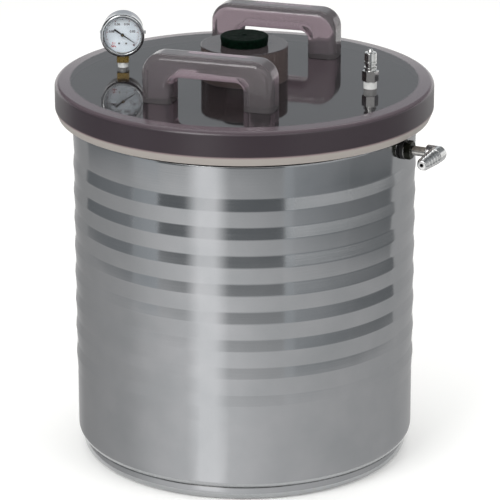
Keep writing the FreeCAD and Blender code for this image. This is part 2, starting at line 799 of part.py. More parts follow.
def build_pointer():
    turn = Placement(Vector(0, 0, 0), Rotation(Vector(0, 0, 1), value_of("pointer_angle")))
    body = new_body("gauge_pointer", dial_place * turn)
    hub = new_sketch(body, "hub", "XY_Plane", pointer_level)
    draw_circle(hub, 0, 0, size("pointer_hub_radius"))
    pad(body, hub, size("pointer_hub_height"))
    needle = new_sketch(body, "needle", "XY_Plane", pointer_level)
    tip, root = size("pointer_tip_width") / 2, size("pointer_root_width") / 2
    tail, start = size("pointer_tail_width") / 2, size("pointer_hub_radius") / 2
    length, back = size("pointer_length"), -size("pointer_tail")
    draw_outline(needle, [
        (length, -tip), (length, tip), (start, root), (-start, root), (back, tail), (back, -tail),
        (-start, -root), (start, -root)])
    pad(body, needle, size("pointer_thickness"))
    hub_height = size("pointer_hub_height")
    drill(body, "bore", 0, 0, size("arbor_radius"), pointer_level + hub_height, hub_height)


def build_movement_plate(label, low, high):
    body = new_body(label, dial_place)
    sketch = new_sketch(body, "outline", "XY_Plane", low)
    draw_outline(sketch, [
        (-size("plate_left"), block_top), (size("plate_right"), block_top),
        (size("plate_right"), size("plate_top")), (-size("plate_left"), size("plate_top"))])
    hole = size("arbor_radius") + size("running_clearance")
    draw_circle(sketch, 0, 0, hole)
    draw_circle(sketch, sector_distance, 0, hole)
    pad(body, sketch, high - low)


def build_movement_frame():
    thickness = size("plate_thickness")
    front, back = size("front_plate_back"), -size("back_plate_front")
    build_movement_plate("movement_front_plate", front, front + thickness)
    build_movement_plate("movement_back_plate", back - thickness, back)
    body = new_body("movement_pillars", dial_place)
    body.AllowCompound = True
    sketch = new_sketch(body, "section", "XY_Plane", back)
    inset = size("pillar_inset")
    left, right = inset - size("plate_left"), size("plate_right") - inset
    low, high = block_top + size("pillar_rise"), size("plate_top") - inset
    for x, y in ((left, low), (left, high), (right, low)):
        draw_circle(sketch, x, y, size("pillar_radius"))
    pad(body, sketch, front - back)


def build_coupler():
    bore, thread = size("plug_bore_radius"), size("plug_thread_radius")
    nut_bottom = size("plug_tape_reach")
    nut_top = nut_bottom + size("plug_hexagon_height")
    collar_top = nut_top + size("plug_collar_height")
    flange_bottom = collar_top + size("plug_waist_height")
    flange_top = flange_bottom + size("plug_flange_height")
    groove_top = flange_top + size("plug_groove_height")
    nose_top = groove_top + size("plug_nose_height")
    tip = nose_top + size("plug_tip_height")
    collar, flange = size("plug_collar_radius"), size("plug_flange_radius")
    waist, groove = size("plug_groove_radius"), size("plug_groove_radius")
    nose = size("plug_nose_radius")
    body = turned("coupler_plug", [
        (bore, -size("thread_depth")), (thread, -size("thread_depth")), (thread, nut_top), (collar, nut_top),
        (collar, collar_top), (waist, flange_bottom), (flange, flange_bottom), (flange, flange_top),
        (groove, flange_top), (groove, groove_top), (nose, groove_top), (nose, nose_top),
        (size("plug_tip_radius"), tip), (bore, tip)], plug_place)
    add_hexagon(body, size("plug_hexagon"), nut_bottom, size("plug_hexagon_height"), bore)
    ring("coupler_seal_tape", thread, plug_tape_radius, -size("thread_depth"), nut_bottom, plug_place)


def add_hexagon(body, across_flats, bottom, height, bore):
    # A hexagon with a bore and turned-off corners at both ends, as shares of its half width
    section = new_sketch(body, "hexagon", "XY_Plane", bottom)
    draw_hexagon(section, across_flats)
    draw_circle(section, 0, 0, bore)
    pad(body, section, height)
    corners = new_sketch(body, "corners", "XZ_Plane")
    inner, outer = across_flats / 2 * value_of("corner_start"), across_flats / 2 * value_of("corner_end")
    rise = (outer - inner) / 2
    top = bottom + height
    for end, step in ((bottom, rise), (top, -rise)):
        draw_outline(corners, [(inner, end), (outer, end), (outer, end + step)])
    revolve(body, corners, "PartDesign::Groove")


def build_port():
    radius, washer = size("nipple_radius"), size("washer_thickness")
    seal, nut = size("seal_thickness"), size("port_nut_height")
    inner_face = inner_wall_chord()
    elbow_start = port_wall + size("elbow_start")
    seal_top = port_wall + seal
    ring("port_nipple", size("nipple_bore_radius"), radius, inner_face - seal - size("nipple_inner_reach"),
         elbow_start + size("elbow_socket_depth"), port_place)
    ring("port_outer_seal", radius, size("outer_seal_radius"), port_wall, seal_top, port_place)
    ring("port_washer", radius, size("washer_radius"), seal_top, seal_top + washer, port_place)
    ring("port_inner_seal", radius, size("washer_radius"), inner_face - seal, inner_face, port_place)
    for label, bottom in (("port_outer_nut", seal_top + washer), ("port_inner_nut", inner_face - seal - nut)):
        body = new_body(label, port_place)
        add_hexagon(body, size("port_hexagon"), bottom, nut, radius)


def inner_wall_chord():
    # How far out a flat washer can sit inside the curved wall before its edge meets the sheet
    inside = band_radius.value - value_of("shell_wall")
    reach = value_of("washer_radius")
    sag = inside - math.sqrt(inside ** 2 - reach ** 2)
    return band_radius - size("shell_wall") - round(sag + value_of("running_clearance"), 3)


def build_elbow():
    body = new_body("port_elbow", port_place)
    start, centre = port_wall + size("elbow_start"), port_wall + size("elbow_centre")
    outer, passage = size("elbow_radius"), size("elbow_passage_radius")
    socket = new_sketch(body, "socket", "XZ_Plane")
    edge = size("elbow_edge_round")
    draw_outline(socket, [(0, start), (outer, start, edge), (outer, centre), (0, centre)])
    revolve(body, socket)
    # The branch leaves along -y, so its profile is drawn in the YZ plane about the line z = centre
    branch = new_sketch(body, "branch", "YZ_Plane")
    collar = size("elbow_collar")
    root, ridge = size("barb_root_radius"), size("barb_radius")
    reach = collar + size("barb_neck")
    profile = [(0, outer), (-collar, outer), (-collar, root), (-reach, root)]
    for _ in range(int(value_of("barb_count"))):
        profile.append((-reach, ridge))
        reach = reach + size("barb_pitch")
        profile.append((-reach, root))
        ridge = ridge - size("barb_step")
    corners = [(y, centre + radius) for y, radius in profile]
    draw_outline(branch, corners + [(-reach, centre), (0, centre)])
    add_axis(branch, centre)
    revolve(body, branch, axis="Axis0")
    ball = new_sketch(body, "ball", "XZ_Plane")
    add_half_disc(ball, centre, outer)
    revolve(body, ball)
    hollow = new_sketch(body, "socket_bore", "XZ_Plane")
    step = start + size("elbow_socket_depth")
    draw_outline(hollow, [
        (0, start), (size("nipple_radius"), start), (size("nipple_radius"), step), (passage, step),
        (passage, centre + passage), (0, centre + passage)])
    revolve(body, hollow, "PartDesign::Groove")
    outlet = new_sketch(body, "outlet_bore", "YZ_Plane")
    draw_outline(outlet, [(0, centre), (0, centre + passage), (-reach, centre + passage), (-reach, centre)])
    add_axis(outlet, centre)
    revolve(body, outlet, "PartDesign::Groove", "Axis0")


def add_half_disc(sketch, level, radius):
    # A half disc on the turning axis, which turns into a ball
    circle = Part.Circle(Vector(0, level.value, 0), Vector(0, 0, 1), radius.value)
    sketch.addGeometry(Part.ArcOfCircle(circle, -math.pi / 2, math.pi / 2))
    sketch.addGeometry(Part.LineSegment(
        Vector(0, level.value + radius.value, 0), Vector(0, level.value - radius.value, 0)))
    sketch.addConstraint(Sketcher.Constraint("Coincident", 0, 2, 1, 1))
    sketch.addConstraint(Sketcher.Constraint("Coincident", 1, 2, 0, 1))
    pin_point(sketch, 0, 2, as_size(0), level + radius)
    pin_point(sketch, 0, 1, as_size(0), level - radius)
    sketch.addConstraint(Sketcher.Constraint("DistanceX", -1, 1, 0, 3, 0))


def check_and_export():
    doc.recompute()
    for item in doc.Objects:
        if "Invalid" in item.State or "Error" in item.State:
            raise RuntimeError("failed feature: %s %s" % (item.Label, item.State))
    for piece in parts:
        if piece.Shape.isNull() or not piece.Shape.isValid() or not piece.Shape.Solids:
            raise RuntimeError("bad shape: %s" % piece.Label)
    os.makedirs("parts", exist_ok=True)
    for piece in parts:
        piece.Shape.exportStep("parts/%s.step" % piece.Label)
        print("%-22s solids %d volume %.1f" % (piece.Label, len(piece.Shape.Solids), piece.Shape.Volume))


build_tank_shell()
build_tank_bottom()
build_lid()
build_neck()
build_stopper()
build_handle("front_handle", -1)
build_handle("rear_handle", 1)
build_gauge_case()
build_gauge_dial()
build_gauge_stem()
build_tube()
build_tube_end()
build_link()
build_pinion()
build_sector()
build_pointer()
build_movement_frame()
build_coupler()
build_port()
build_elbow()
check_and_export()
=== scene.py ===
import json
import math
import bpy
import bmesh
from mathutils import Matrix, Vector


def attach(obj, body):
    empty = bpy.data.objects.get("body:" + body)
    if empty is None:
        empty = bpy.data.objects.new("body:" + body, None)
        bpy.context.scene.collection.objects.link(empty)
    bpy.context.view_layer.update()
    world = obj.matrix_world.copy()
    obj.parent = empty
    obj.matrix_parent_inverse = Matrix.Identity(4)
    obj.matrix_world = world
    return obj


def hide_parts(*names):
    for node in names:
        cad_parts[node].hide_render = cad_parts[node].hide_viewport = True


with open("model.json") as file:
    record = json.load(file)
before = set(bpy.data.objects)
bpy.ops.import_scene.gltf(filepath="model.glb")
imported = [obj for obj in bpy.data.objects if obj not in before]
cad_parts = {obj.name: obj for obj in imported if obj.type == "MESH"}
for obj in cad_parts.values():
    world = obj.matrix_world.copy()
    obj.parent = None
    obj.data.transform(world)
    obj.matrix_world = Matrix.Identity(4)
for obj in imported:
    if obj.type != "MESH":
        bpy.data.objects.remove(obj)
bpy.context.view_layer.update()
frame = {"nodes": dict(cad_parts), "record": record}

# Suction filter tank. Lengths are written in millimetres and multiplied by mm on the way in.
mm = 0.001
nodes = frame["nodes"]
scene = bpy.context.scene


def addNode(tree, kind, inputs=None, **settings):
    node = tree.nodes.new(kind)
    for name, value in settings.items():
        setattr(node, name, value)
    for key, value in (inputs or {}).items():
        if isinstance(value, bpy.types.NodeSocket):
            tree.links.new(value, node.inputs[key])
        else:
            node.inputs[key].default_value = value
    return node


def linear(code):
    # "#rrggbb" as sRGB to the linear colour that a socket takes
    parts = [int(code[i:i + 2], 16) / 255 for i in (1, 3, 5)]
    return tuple(c / 12.92 if c <= 0.04045 else ((c + 0.055) / 1.055) ** 2.4 for c in parts) + (1.0,)


def newObject(name, data):
    item = bpy.data.objects.new(name, data)
    scene.collection.objects.link(item)
    return item


# Camera, from the fit to the photograph's outlines
camera = {"focalPixels": 3081.06, "imagePixels": 500, "sensor": 36.0, "distance": 3151.14,
          "elevation": 18.95, "aimHeight": 206.23, "turn": 18.6, "yaw": 0.1, "roll": -0.06}


def makeCamera(p):
    rise, yaw, roll = (math.radians(p[k]) for k in ("elevation", "yaw", "roll"))
    ahead = Vector((0, math.cos(rise), -math.sin(rise)))
    side = Vector((1, 0, 0))
    over = side.cross(ahead)
    look = ahead * math.cos(yaw) + side * math.sin(yaw)
    across = side * math.cos(yaw) - ahead * math.sin(yaw)
    right = across * math.cos(roll) + over * math.sin(roll)
    up = over * math.cos(roll) - across * math.sin(roll)
    place = Vector((0, 0, p["aimHeight"])) - ahead * p["distance"]
    data = bpy.data.cameras.new("photoCamera")
    data.sensor_width = p["sensor"]
    data.sensor_fit = "HORIZONTAL"
    data.lens = p["focalPixels"] * p["sensor"] / p["imagePixels"]
    data.clip_end = 100
    item = newObject("photoCamera", data)
    axes = Matrix((right, up, -look)).transposed().to_4x4()
    turn = Matrix.Rotation(math.radians(p["turn"]), 4, "Z")
    item.matrix_world = turn @ Matrix.Translation(place * mm) @ axes
    scene.camera = item


makeCamera(camera)
scene.view_settings.view_transform = "Standard"
print("camera made")

# Floor, world, lamps, and the cards that only glossy surfaces see. Bend, top and soft are for the cards that
# don't give their own.
studio = {"floorRadius": 6000, "floorSides": 96, "floorLevel": -0.4, "floorColour": "#f4f4f2",
          "floorGlow": 0.16, "worldStrength": 0.62, "turn": 18.6, "wall": 172.0, "lampAim": 250, "bend": 1040,
          "top": 620, "soft": 0.25, "tint": (0.95, 1.0, 1.04, 1), "cardLift": 1.5, "cardStep": 0.4}
# The floor as the steel mirrors it, from the foot outwards: the tone at each angle round the wall
floorSheen = {"radii": (176, 220, 300, 420, 600, 800, 1040, 1500), "level": 1.0, "columns": 84,
              "tones": [(-84, 0.5), (-73, 0.4), (-43, 0.6), (-34, 0.78), (-28, 0.85), (-22, 0.93), (-10, 1.0),
                        (-3, 0.97), (4, 0.86), (11, 0.79), (20, 0.74), (31, 0.67), (45, 0.62), (56, 0.58),
                        (73, 0.5), (84, 0.45)]}

# A card lies on the floor from its near edge to the bend and then stands. Its width is either a span of
# azimuth, counted from the camera's side to its right, or the stretch of the tank's wall that mirrors it to
# the camera. Width, near edge and tone are given at the left and right end. Fade is the cover at steps past
# the near edge, and soft is how far each end fades out. A card with a level hangs flat there instead.
cards = {
    "farLeft": {"wall": (-64.3, -39.5), "near": (985, 985), "tone": (0.22, 0.34),
                "fade": [(0, 0.0), (15, 0.25), (55, 0.45), (85, 1.0)]},
    "midLeft": {"wall": (-39.5, -29.3), "near": (985, 960), "tone": (0.48, 0.62),
                "fade": [(0, 0.0), (15, 0.25), (55, 0.45), (85, 1.0)]},
    "nearLeft": {"wall": (-29.3, -12.5), "near": (915, 885), "tone": (0.23, 0.21),
                 "fade": [(0, 0.0), (100, 0.1), (174, 0.37), (203, 0.76), (232, 1.0)]},
    "middle": {"wall": (-12.5, 13.1), "near": (560, 560), "tone": (0.25, 0.2),
               "fade": [(0, 0.0), (240, 0.3), (440, 0.4), (500, 0.55), (526, 0.69), (555, 0.85), (584, 0.97),
                        (620, 1.0)]},
    "streak": {"wall": (-17.5, -7.5), "near": (180, 180), "tone": (1.36, 1.36), "soft": 2.2, "bend": 1036,
               "fade": [(0, 0.9), (850, 0.9), (960, 0.82)]},
    "gap": {"wall": (13.1, 16.4), "near": (740, 740), "tone": (0.58, 0.54),
            "fade": [(-110, 0.0), (0, 0.5), (60, 0.75), (240, 1.0), (460, 0.7)]},
    "nearRight": {"wall": (16.4, 37), "near": (740, 720), "tone": (0.44, 0.27),
                  "fade": [(-110, 0.0), (0, 0.6), (60, 0.8), (240, 1.0), (330, 0.8), (460, 0.6)]},
    "farRight": {"wall": (37, 59), "near": (720, 690), "tone": (0.25, 0.19),
                 "fade": [(-110, 0.0), (0, 0.7), (60, 0.8), (240, 1.0), (330, 0.8), (460, 0.6)]},
    "overLeft": {"span": (-158, -42), "near": (1665, 1665), "tone": (0.08, 0.08), "top": 1750, "soft": 4,
                 "fade": [(0, 1.0)]},
    "overRight": {"span": (32, 154), "near": (1665, 1665), "tone": (0.3, 0.16), "top": 1500, "soft": 4,
                  "fade": [(0, 1.0)]},
    "overhead": {"span": (-180, 180), "near": (5, 5), "tone": (0.12, 0.12), "level": 2500,
                 "fade": [(0, 1.0), (1200, 1.0), (2500, 1.0)]},
    "behindLid": {"span": (112, 248), "near": (3380, 3380), "tone": (0.56, 0.56), "bend": 2500, "top": 2350,
                  "soft": 6, "fade": [(0, 0.0), (90, 1.0)]},
}
lamps = {"keyPanel": {"azimuth": -38, "radius": 2200, "level": 1900, "size": (1500, 1500), "watts": 34},
         "fillPanel": {"azimuth": 52, "radius": 2400, "level": 1500, "size": (1600, 1400), "watts": 16},
         "topPanel": {"azimuth": 170, "radius": 500, "level": 2600, "size": (2200, 2200), "watts": 26}}


def turnedPoint(radius, azimuth, level):
    # Azimuth is counted from the camera's side, to its right
    angle = math.radians(azimuth - 90 + studio["turn"])
    return Vector((radius * math.cos(angle), radius * math.sin(angle), level)) * mm


def mirroredAzimuth(radius, angle):
    # Where a level line of sight, mirrored by the wall at this angle, meets a circle round the tank
    turn, wall = math.radians(angle), studio["wall"]
    reach = math.sqrt(radius ** 2 - (wall * math.sin(turn)) ** 2) - wall * math.cos(turn)
    return math.degrees(math.atan2(wall * math.sin(turn) + reach * math.sin(2 * turn),
                                   wall * math.cos(turn) + reach * math.cos(2 * turn)))


def newMesh(name, points, faces, smooth=True):
    mesh = bpy.data.meshes.new(name)
    mesh.from_pydata(points, [], faces)
    mesh.update()
    for polygon in mesh.polygons:
        polygon.use_smooth = smooth
    return newObject(name, mesh)


def newMaterial(name):
    material = bpy.data.materials.new(name)
    material.use_nodes = True
    material.node_tree.nodes.clear()
    return material, material.node_tree


def makeFloor(p):
    count = p["floorSides"]
    points = [turnedPoint(p["floorRadius"], 360 * i / count, p["floorLevel"]) for i in range(count)]
    floor = newMesh("floor", points, [list(range(count))], smooth=False)
    material, tree = newMaterial("paleFloor")
    shader = addNode(tree, "ShaderNodeBsdfDiffuse", {"Color": linear(p["floorColour"])})
    glow = addNode(tree, "ShaderNodeEmission", {"Color": (1, 1, 1, 1), "Strength": p["floorGlow"]})
    both = addNode(tree, "ShaderNodeAddShader", {0: shader.outputs[0], 1: glow.outputs[0]})
    addNode(tree, "ShaderNodeOutputMaterial", {"Surface": both.outputs[0]})
    floor.data.materials.append(material)


def makeWorld(p):
    # White wherever the camera, a mirror or clear plastic looks, and softer as a light
    world = bpy.data.worlds.new("studioWorld")
    world.use_nodes = True
    scene.world = world
    tree = world.node_tree
    tree.nodes.clear()
    path = addNode(tree, "ShaderNodeLightPath").outputs
    seen = addNode(tree, "ShaderNodeMath", {0: path["Is Camera Ray"], 1: path["Is Glossy Ray"]},
                   operation="MAXIMUM")
    seen = addNode(tree, "ShaderNodeMath", {0: seen.outputs[0], 1: path["Is Transmission Ray"]},
                   operation="MAXIMUM")
    strength = addNode(tree, "ShaderNodeMapRange", {"Value": seen.outputs[0], "To Min": p["worldStrength"],
                                                    "To Max": 1.0})
    light = addNode(tree, "ShaderNodeBackground", {"Color": (1, 1, 1, 1), "Strength": strength.outputs[0]})
    addNode(tree, "ShaderNodeOutputWorld", {"Surface": light.outputs[0]})


def makeLamps(p):
    for name, lamp in lamps.items():
        data = bpy.data.lights.new(name, "AREA")
        data.shape = "RECTANGLE"
        data.size, data.size_y = lamp["size"][0] * mm, lamp["size"][1] * mm
        data.energy = lamp["watts"]
        item = newObject(name, data)
        item.location = turnedPoint(lamp["radius"], lamp["azimuth"], lamp["level"])
        look = Vector((0, 0, p["lampAim"])) * mm - item.location
        item.rotation_euler = look.to_track_quat("-Z", "Y").to_euler()


def cardMaterial(tint):
    # Tone and cover are painted on the card's points
    material, tree = newMaterial("cardTone")
    tone = addNode(tree, "ShaderNodeAttribute", attribute_name="tone")
    cover = addNode(tree, "ShaderNodeAttribute", attribute_name="cover")
    glow = addNode(tree, "ShaderNodeEmission", {"Color": tint, "Strength": tone.outputs["Fac"]})
    clear = addNode(tree, "ShaderNodeBsdfTransparent")
    both = addNode(tree, "ShaderNodeMixShader", {0: cover.outputs["Fac"], 1: clear.outputs[0],
                                                 2: glow.outputs[0]})
    addNode(tree, "ShaderNodeOutputMaterial", {"Surface": both.outputs[0]})
    return material


def along(stops, place):
    # Value at a place on the line through the stops
    for (first, low), (second, high) in zip(stops, stops[1:]):
        if place <= second:
            return low + (high - low) * max(0.0, (place - first) / (second - first))
    return stops[-1][1]


def hangCard(name, columns, material):
    # A column is a list of points, each an azimuth, radius, level, tone and cover
    points, faces, tones, covers = [], [], [], []
    rows = len(columns[0])
    for column in columns:
        for azimuth, radius, level, tone, cover in column:
            points.append(turnedPoint(radius, azimuth, level))
            tones.append(tone)
            covers.append(cover)
    for i in range(len(columns) - 1):
        for k in range(rows - 1):
            first = i * rows + k
            faces.append([first, first + rows, first + rows + 1, first + 1])
    card = newMesh(name, points, faces)
    for label, values in (("tone", tones), ("cover", covers)):
        card.data.attributes.new(label, "FLOAT", "POINT").data.foreach_set("value", values)
    card.data.materials.append(material)
    card.visible_camera = card.visible_diffuse = card.visible_shadow = card.visible_transmission = False


def makeSheen(p, material):
    # The floor in columns that the steel mirrors as upright ones
    first, last = p["tones"][0][0], p["tones"][-1][0]
    columns = []
    for k in range(p["columns"] + 1):
        angle = first + (last - first) * k / p["columns"]
        tone = along(p["tones"], angle)
        columns.append([(mirroredAzimuth(radius, angle), radius, p["level"], tone, 1.0)
                        for radius in p["radii"]])
    hangCard("floorSheen", columns, material)


def cardAngles(start, end, soft):
    # Across the card: a faded strip at each end, and eight even ones between them
    angles = [start - soft, start + soft]
    angles += [start + soft + (end - start - 2 * soft) * k / 8 for k in range(1, 8)]
    return angles + [end - soft, end + soft]


def cardPlaces(card, near, bend, top):
    # Along the card: out over the floor as far as the bend, then up
    places = [near + past for past, cover in card["fade"]]
    if "level" not in card:
        places.append(bend + top)
        places += [near + (bend - near) * k / 4 for k in (1, 2, 3, 4) if near < bend]
    return sorted(places)


def makeCard(p, name, card, number, material):
    # Each card lies a little above the one before and bends a little beyond it, so that no two share a plane
    lift = p["cardLift"] + p["cardStep"] * number
    bend, top = card.get("bend", p["bend"] + number), card.get("top", p["top"])
    onWall = "wall" in card
    start, end = card["wall"] if onWall else card["span"]
    angles = cardAngles(start, end, card.get("soft", p["soft"]))
    columns = []
    for angle in angles:
        share = min(1.0, max(0.0, (angle - start) / (end - start)))
        near = card["near"][0] + (card["near"][1] - card["near"][0]) * share
        tone = card["tone"][0] + (card["tone"][1] - card["tone"][0]) * share
        inside = 0.0 if angle in (angles[0], angles[-1]) else 1.0
        stops = [(near + past, cover) for past, cover in card["fade"]]
        column = []
        for place in cardPlaces(card, near, bend, top):
            radius, level = min(place, bend), max(lift, place - bend)
            if "level" in card:
                radius, level = place, card["level"]
            azimuth = mirroredAzimuth(radius, angle) if onWall else angle
            column.append((azimuth, radius, level, tone, inside * along(stops, place)))
        columns.append(column)
    hangCard(name, columns, material)


def makeCards(p):
    plain, tinted = cardMaterial((1, 1, 1, 1)), cardMaterial(p["tint"])
    makeSheen(floorSheen, plain)
    for number, (name, card) in enumerate(cards.items()):
        makeCard(p, name, card, number, plain if name == "streak" else tinted)


makeFloor(studio)
makeWorld(studio)
makeLamps(studio)
makeCards(studio)
print("studio made")


# Materials
def newFinish(name):
    material, tree = newMaterial(name)
    return material, tree, addNode(tree, "ShaderNodeTexCoord").outputs["Object"]


def grain(tree, place, size, low, high, stretch=(1, 1, 1), detail=3.0, start=0.3, end=0.7):
    # Noise with features about size mm across, and longer along an axis whose stretch is above 1
    scale = tuple(1 / (size * mm * s) for s in stretch)
    mapped = addNode(tree, "ShaderNodeMapping", {"Vector": place, "Scale": scale})
    noise = addNode(tree, "ShaderNodeTexNoise", {"Vector": mapped.outputs[0], "Scale": 1.0, "Detail": detail})
    return addNode(tree, "ShaderNodeMapRange", {"Value": noise.outputs["Fac"], "From Min": start,
                                                "From Max": end, "To Min": low, "To Max": high}).outputs[0]


def finishSurface(tree, inputs, bump, strength, depth, volume=None):
    lift = addNode(tree, "ShaderNodeBump", {"Height": bump, "Strength": strength, "Distance": depth * mm})
    shader = addNode(tree, "ShaderNodeBsdfPrincipled", dict(inputs, Normal=lift.outputs[0]))
    out = addNode(tree, "ShaderNodeOutputMaterial", {"Surface": shader.outputs[0]})
    if volume is not None:
        tree.links.new(volume, out.inputs["Volume"])


def beltPolishedStainless():
    # Stainless sheet, belt polished round the tank: clear mirror images with fine lines across them
    material, tree, place = newFinish("beltPolishedStainless")
    split = addNode(tree, "ShaderNodeSeparateXYZ", {"Vector": place}).outputs
    angle = addNode(tree, "ShaderNodeMath", {0: split["Y"], 1: split["X"]}, operation="ARCTAN2")
    arc = addNode(tree, "ShaderNodeMath", {0: angle.outputs[0], 1: studio["wall"] * mm}, operation="MULTIPLY")
    rolled = addNode(tree, "ShaderNodeCombineXYZ", {"X": arc.outputs[0], "Z": split["Z"]}).outputs[0]
    # Real belt lines are near 0.1 mm; these are drawn at 1.4 mm so that they show
    lines = grain(tree, rolled, 1.4, 0, 1, (60, 1, 1), 4)
    cloud = grain(tree, place, 42, 0, 1, detail=3)
    wave = grain(tree, rolled, 70, 0, 1, (1.5, 1, 1), 1)
    rough = addNode(tree, "ShaderNodeMath", {0: lines, 1: 0.05, 2: grain(tree, place, 28, 0.075, 0.12)},
                    operation="MULTIPLY_ADD")
    height = addNode(tree, "ShaderNodeMath", {0: lines, 1: 0.035, 2: wave}, operation="MULTIPLY_ADD")
    colour = addNode(tree, "ShaderNodeMix", {0: cloud, 6: linear("#a6a8aa"), 7: linear("#aeafb1")},
                     data_type="RGBA")
    # Painted shade: a darker band round the seam where the pan is welded on, for the shade in that recess
    seam = addNode(tree, "ShaderNodeMath", {0: split["Z"], 1: tank["footHeight"] * mm, 2: 0.5 * mm},
                   operation="COMPARE")
    colour = addNode(tree, "ShaderNodeMix", {0: seam.outputs[0], 6: colour.outputs[2], 7: linear("#54504d")},
                     data_type="RGBA")
    finishSurface(tree, {"Base Color": colour.outputs[2], "Metallic": 1.0, "Roughness": rough.outputs[0]},
                  height.outputs[0], 1.0, 0.12)
    return material


def smokeAcrylic():
    # Smoke tinted cast acrylic: dark polished faces, a sawn satin edge and paler handles, all slightly
    # cloudy. The upper edge and the chamfer's band are painted paler for the light they catch.
    material, tree, place = newFinish("smokeAcrylic")
    level = addNode(tree, "ShaderNodeSeparateXYZ", {"Vector": place}).outputs["Z"]
    flat = addNode(tree, "ShaderNodeVectorMath", {0: place, 1: (1, 1, 0)}, operation="MULTIPLY")
    radius = addNode(tree, "ShaderNodeVectorMath", {0: flat.outputs[0]}, operation="LENGTH").outputs["Value"]
    top, low, neckTop = lid["top"], lid["bandTop"], lid["neckTop"]
    neck, edge = (52, 50), (lid["ringStart"] - 1, lid["ringStart"] + 1)
    # Each zone: between which levels and radii it fades in, colour, roughness, and how clear it is
    zones = [((top + 0.2, top + 0.8), None, "#e2d9dd", 0.08, 0.89),  # handles
             ((top + 0.2, top + 0.8), neck, "#776a68", 0.1, 0.5),  # neck
             ((neckTop - 1.5, neckTop - 0.6), neck, "#7f7578", 0.04, 0.8),  # top of the neck
             ((top + 1, top), edge, "#33282f", 0.32, 0.2),  # side
             # Painted sheen: the rounded upper edge is painted paler than the side, for the light it catches
             ((top - 4.5, top - 1.5), edge, "#64595f", 0.16, 0.3),  # rounded upper edge
             # Painted light: a paler line over the band, and the band below it painted pale for the light it
             # takes in from the floor
             ((low + 1.6, low + 0.4), edge, "#8d7b7c", 0.34, 0.2),  # line over the band
             ((low + 0.3, low - 0.8), edge, "#a59e98", 0.34, 0.2)]  # pale band on the chamfer
    colour, values = linear("#4a4448"), (0.03, 0.8, 0)
    for levels, radii, code, rough, clear in zones:
        mask = addNode(tree, "ShaderNodeMapRange", {"Value": level, "From Min": levels[0] * mm,
                                                    "From Max": levels[1] * mm}).outputs[0]
        if radii is not None:
            inside = addNode(tree, "ShaderNodeMapRange", {"Value": radius, "From Min": radii[0] * mm,
                                                          "From Max": radii[1] * mm})
            mask = addNode(tree, "ShaderNodeMath", {0: mask, 1: inside.outputs[0]},
                           operation="MULTIPLY").outputs[0]
        colour = addNode(tree, "ShaderNodeMix", {0: mask, 6: colour, 7: linear(code)},
                         data_type="RGBA").outputs[2]
        values = addNode(tree, "ShaderNodeMix", {0: mask, 4: values, 5: (rough, clear, 0)},
                         data_type="VECTOR").outputs[1]
    parts = addNode(tree, "ShaderNodeSeparateXYZ", {"Vector": values}).outputs
    smear = grain(tree, place, 22, 0, 1, detail=4)
    rough = addNode(tree, "ShaderNodeMath", {0: smear, 1: 0.03, 2: parts["X"]}, operation="MULTIPLY_ADD")
    absorb = addNode(tree, "ShaderNodeVolumeAbsorption", {"Color": linear("#a08896"), "Density": 60.0})
    finishSurface(tree, {"Base Color": colour, "Roughness": rough.outputs[0], "IOR": 1.49,
                         "Transmission Weight": parts["Y"]}, smear, 0.4, 0.03, absorb.outputs[0])
    return material


def mouldedRubber(name, dark, pale, roughness, gloss=0.45):
    # Moulded rubber or wound tape: dull, with a fine dusty bloom
    material, tree, place = newFinish(name)
    dust = grain(tree, place, 3.0, 0, 1, detail=5, start=0.35, end=0.75)
    speck = grain(tree, place, 0.6, 0, 1, detail=2)
    rough = grain(tree, place, 5.0, roughness - 0.08, roughness + 0.1)
    colour = addNode(tree, "ShaderNodeMix", {0: dust, 6: linear(dark), 7: linear(pale)}, data_type="RGBA")
    finishSurface(tree, {"Base Color": colour.outputs[2], "Roughness": rough, "Specular IOR Level": gloss},
                  speck, 0.15, 0.08)
    return material


def workedMetal(name, dark, pale, roughness, size=6.0):
    # Turned, cast or plated metal: uneven polish with shallow tool marks. Real marks are near 0.1 mm, and
    # these are drawn at 0.5 mm so that they show.
    material, tree, place = newFinish(name)
    cloud = grain(tree, place, size, 0, 1, detail=4)
    marks = grain(tree, place, 0.5, 0, 1, (6, 6, 1))
    rough = grain(tree, place, size, roughness * 0.7, roughness * 1.4)
    colour = addNode(tree, "ShaderNodeMix", {0: cloud, 6: linear(dark), 7: linear(pale)}, data_type="RGBA")
    finishSurface(tree, {"Base Color": colour.outputs[2], "Metallic": 1.0, "Roughness": rough},
                  marks, 0.05, 0.02)
    return material


def paintedFace(name, dark, pale, roughness, coat=0.0):
    # Enamel or printed paint: a slight orange peel under an even gloss
    material, tree, place = newFinish(name)
    cloud = grain(tree, place, 7, 0, 1)
    peel = grain(tree, place, 0.9, 0, 1, detail=2)
    colour = addNode(tree, "ShaderNodeMix", {0: cloud, 6: linear(dark), 7: linear(pale)}, data_type="RGBA")
    finishSurface(tree, {"Base Color": colour.outputs[2], "Roughness": roughness, "Coat Weight": coat},
                  peel, 0.1, 0.02)
    return material


def windowGlass():
    # Flat clear gauge glass with a faint smear
    material, tree, place = newFinish("windowGlass")
    smear = grain(tree, place, 8, 0, 1, detail=2)
    rough = grain(tree, place, 8, 0.0, 0.02, detail=2)
    finishSurface(tree, {"Base Color": (1, 1, 1, 1), "Roughness": rough, "IOR": 1.5,
                         "Transmission Weight": 1.0}, smear, 0.02, 0.01)
    return material


# Tank: sheet wall with eight beads, and the pan welded to its foot. The finishes read this and the lid.
tank = {"wallRadius": 172.5, "beadHeight": 1.0, "beadPitch": 28.8, "beadFlank": 12.4, "beadBend": 14.0,
        "topBead": 304.0, "beads": 8, "height": 351.0, "flare": 1.5, "sheet": 1.5, "footRadius": 167.0,
        "footHeight": 14.2, "lowerBend": 16.0, "rimBend": 3.5, "rimFlange": 10.0, "panSheet": 2.0,
        "panBend": 8.0, "seam": 1.0, "sides": 240}
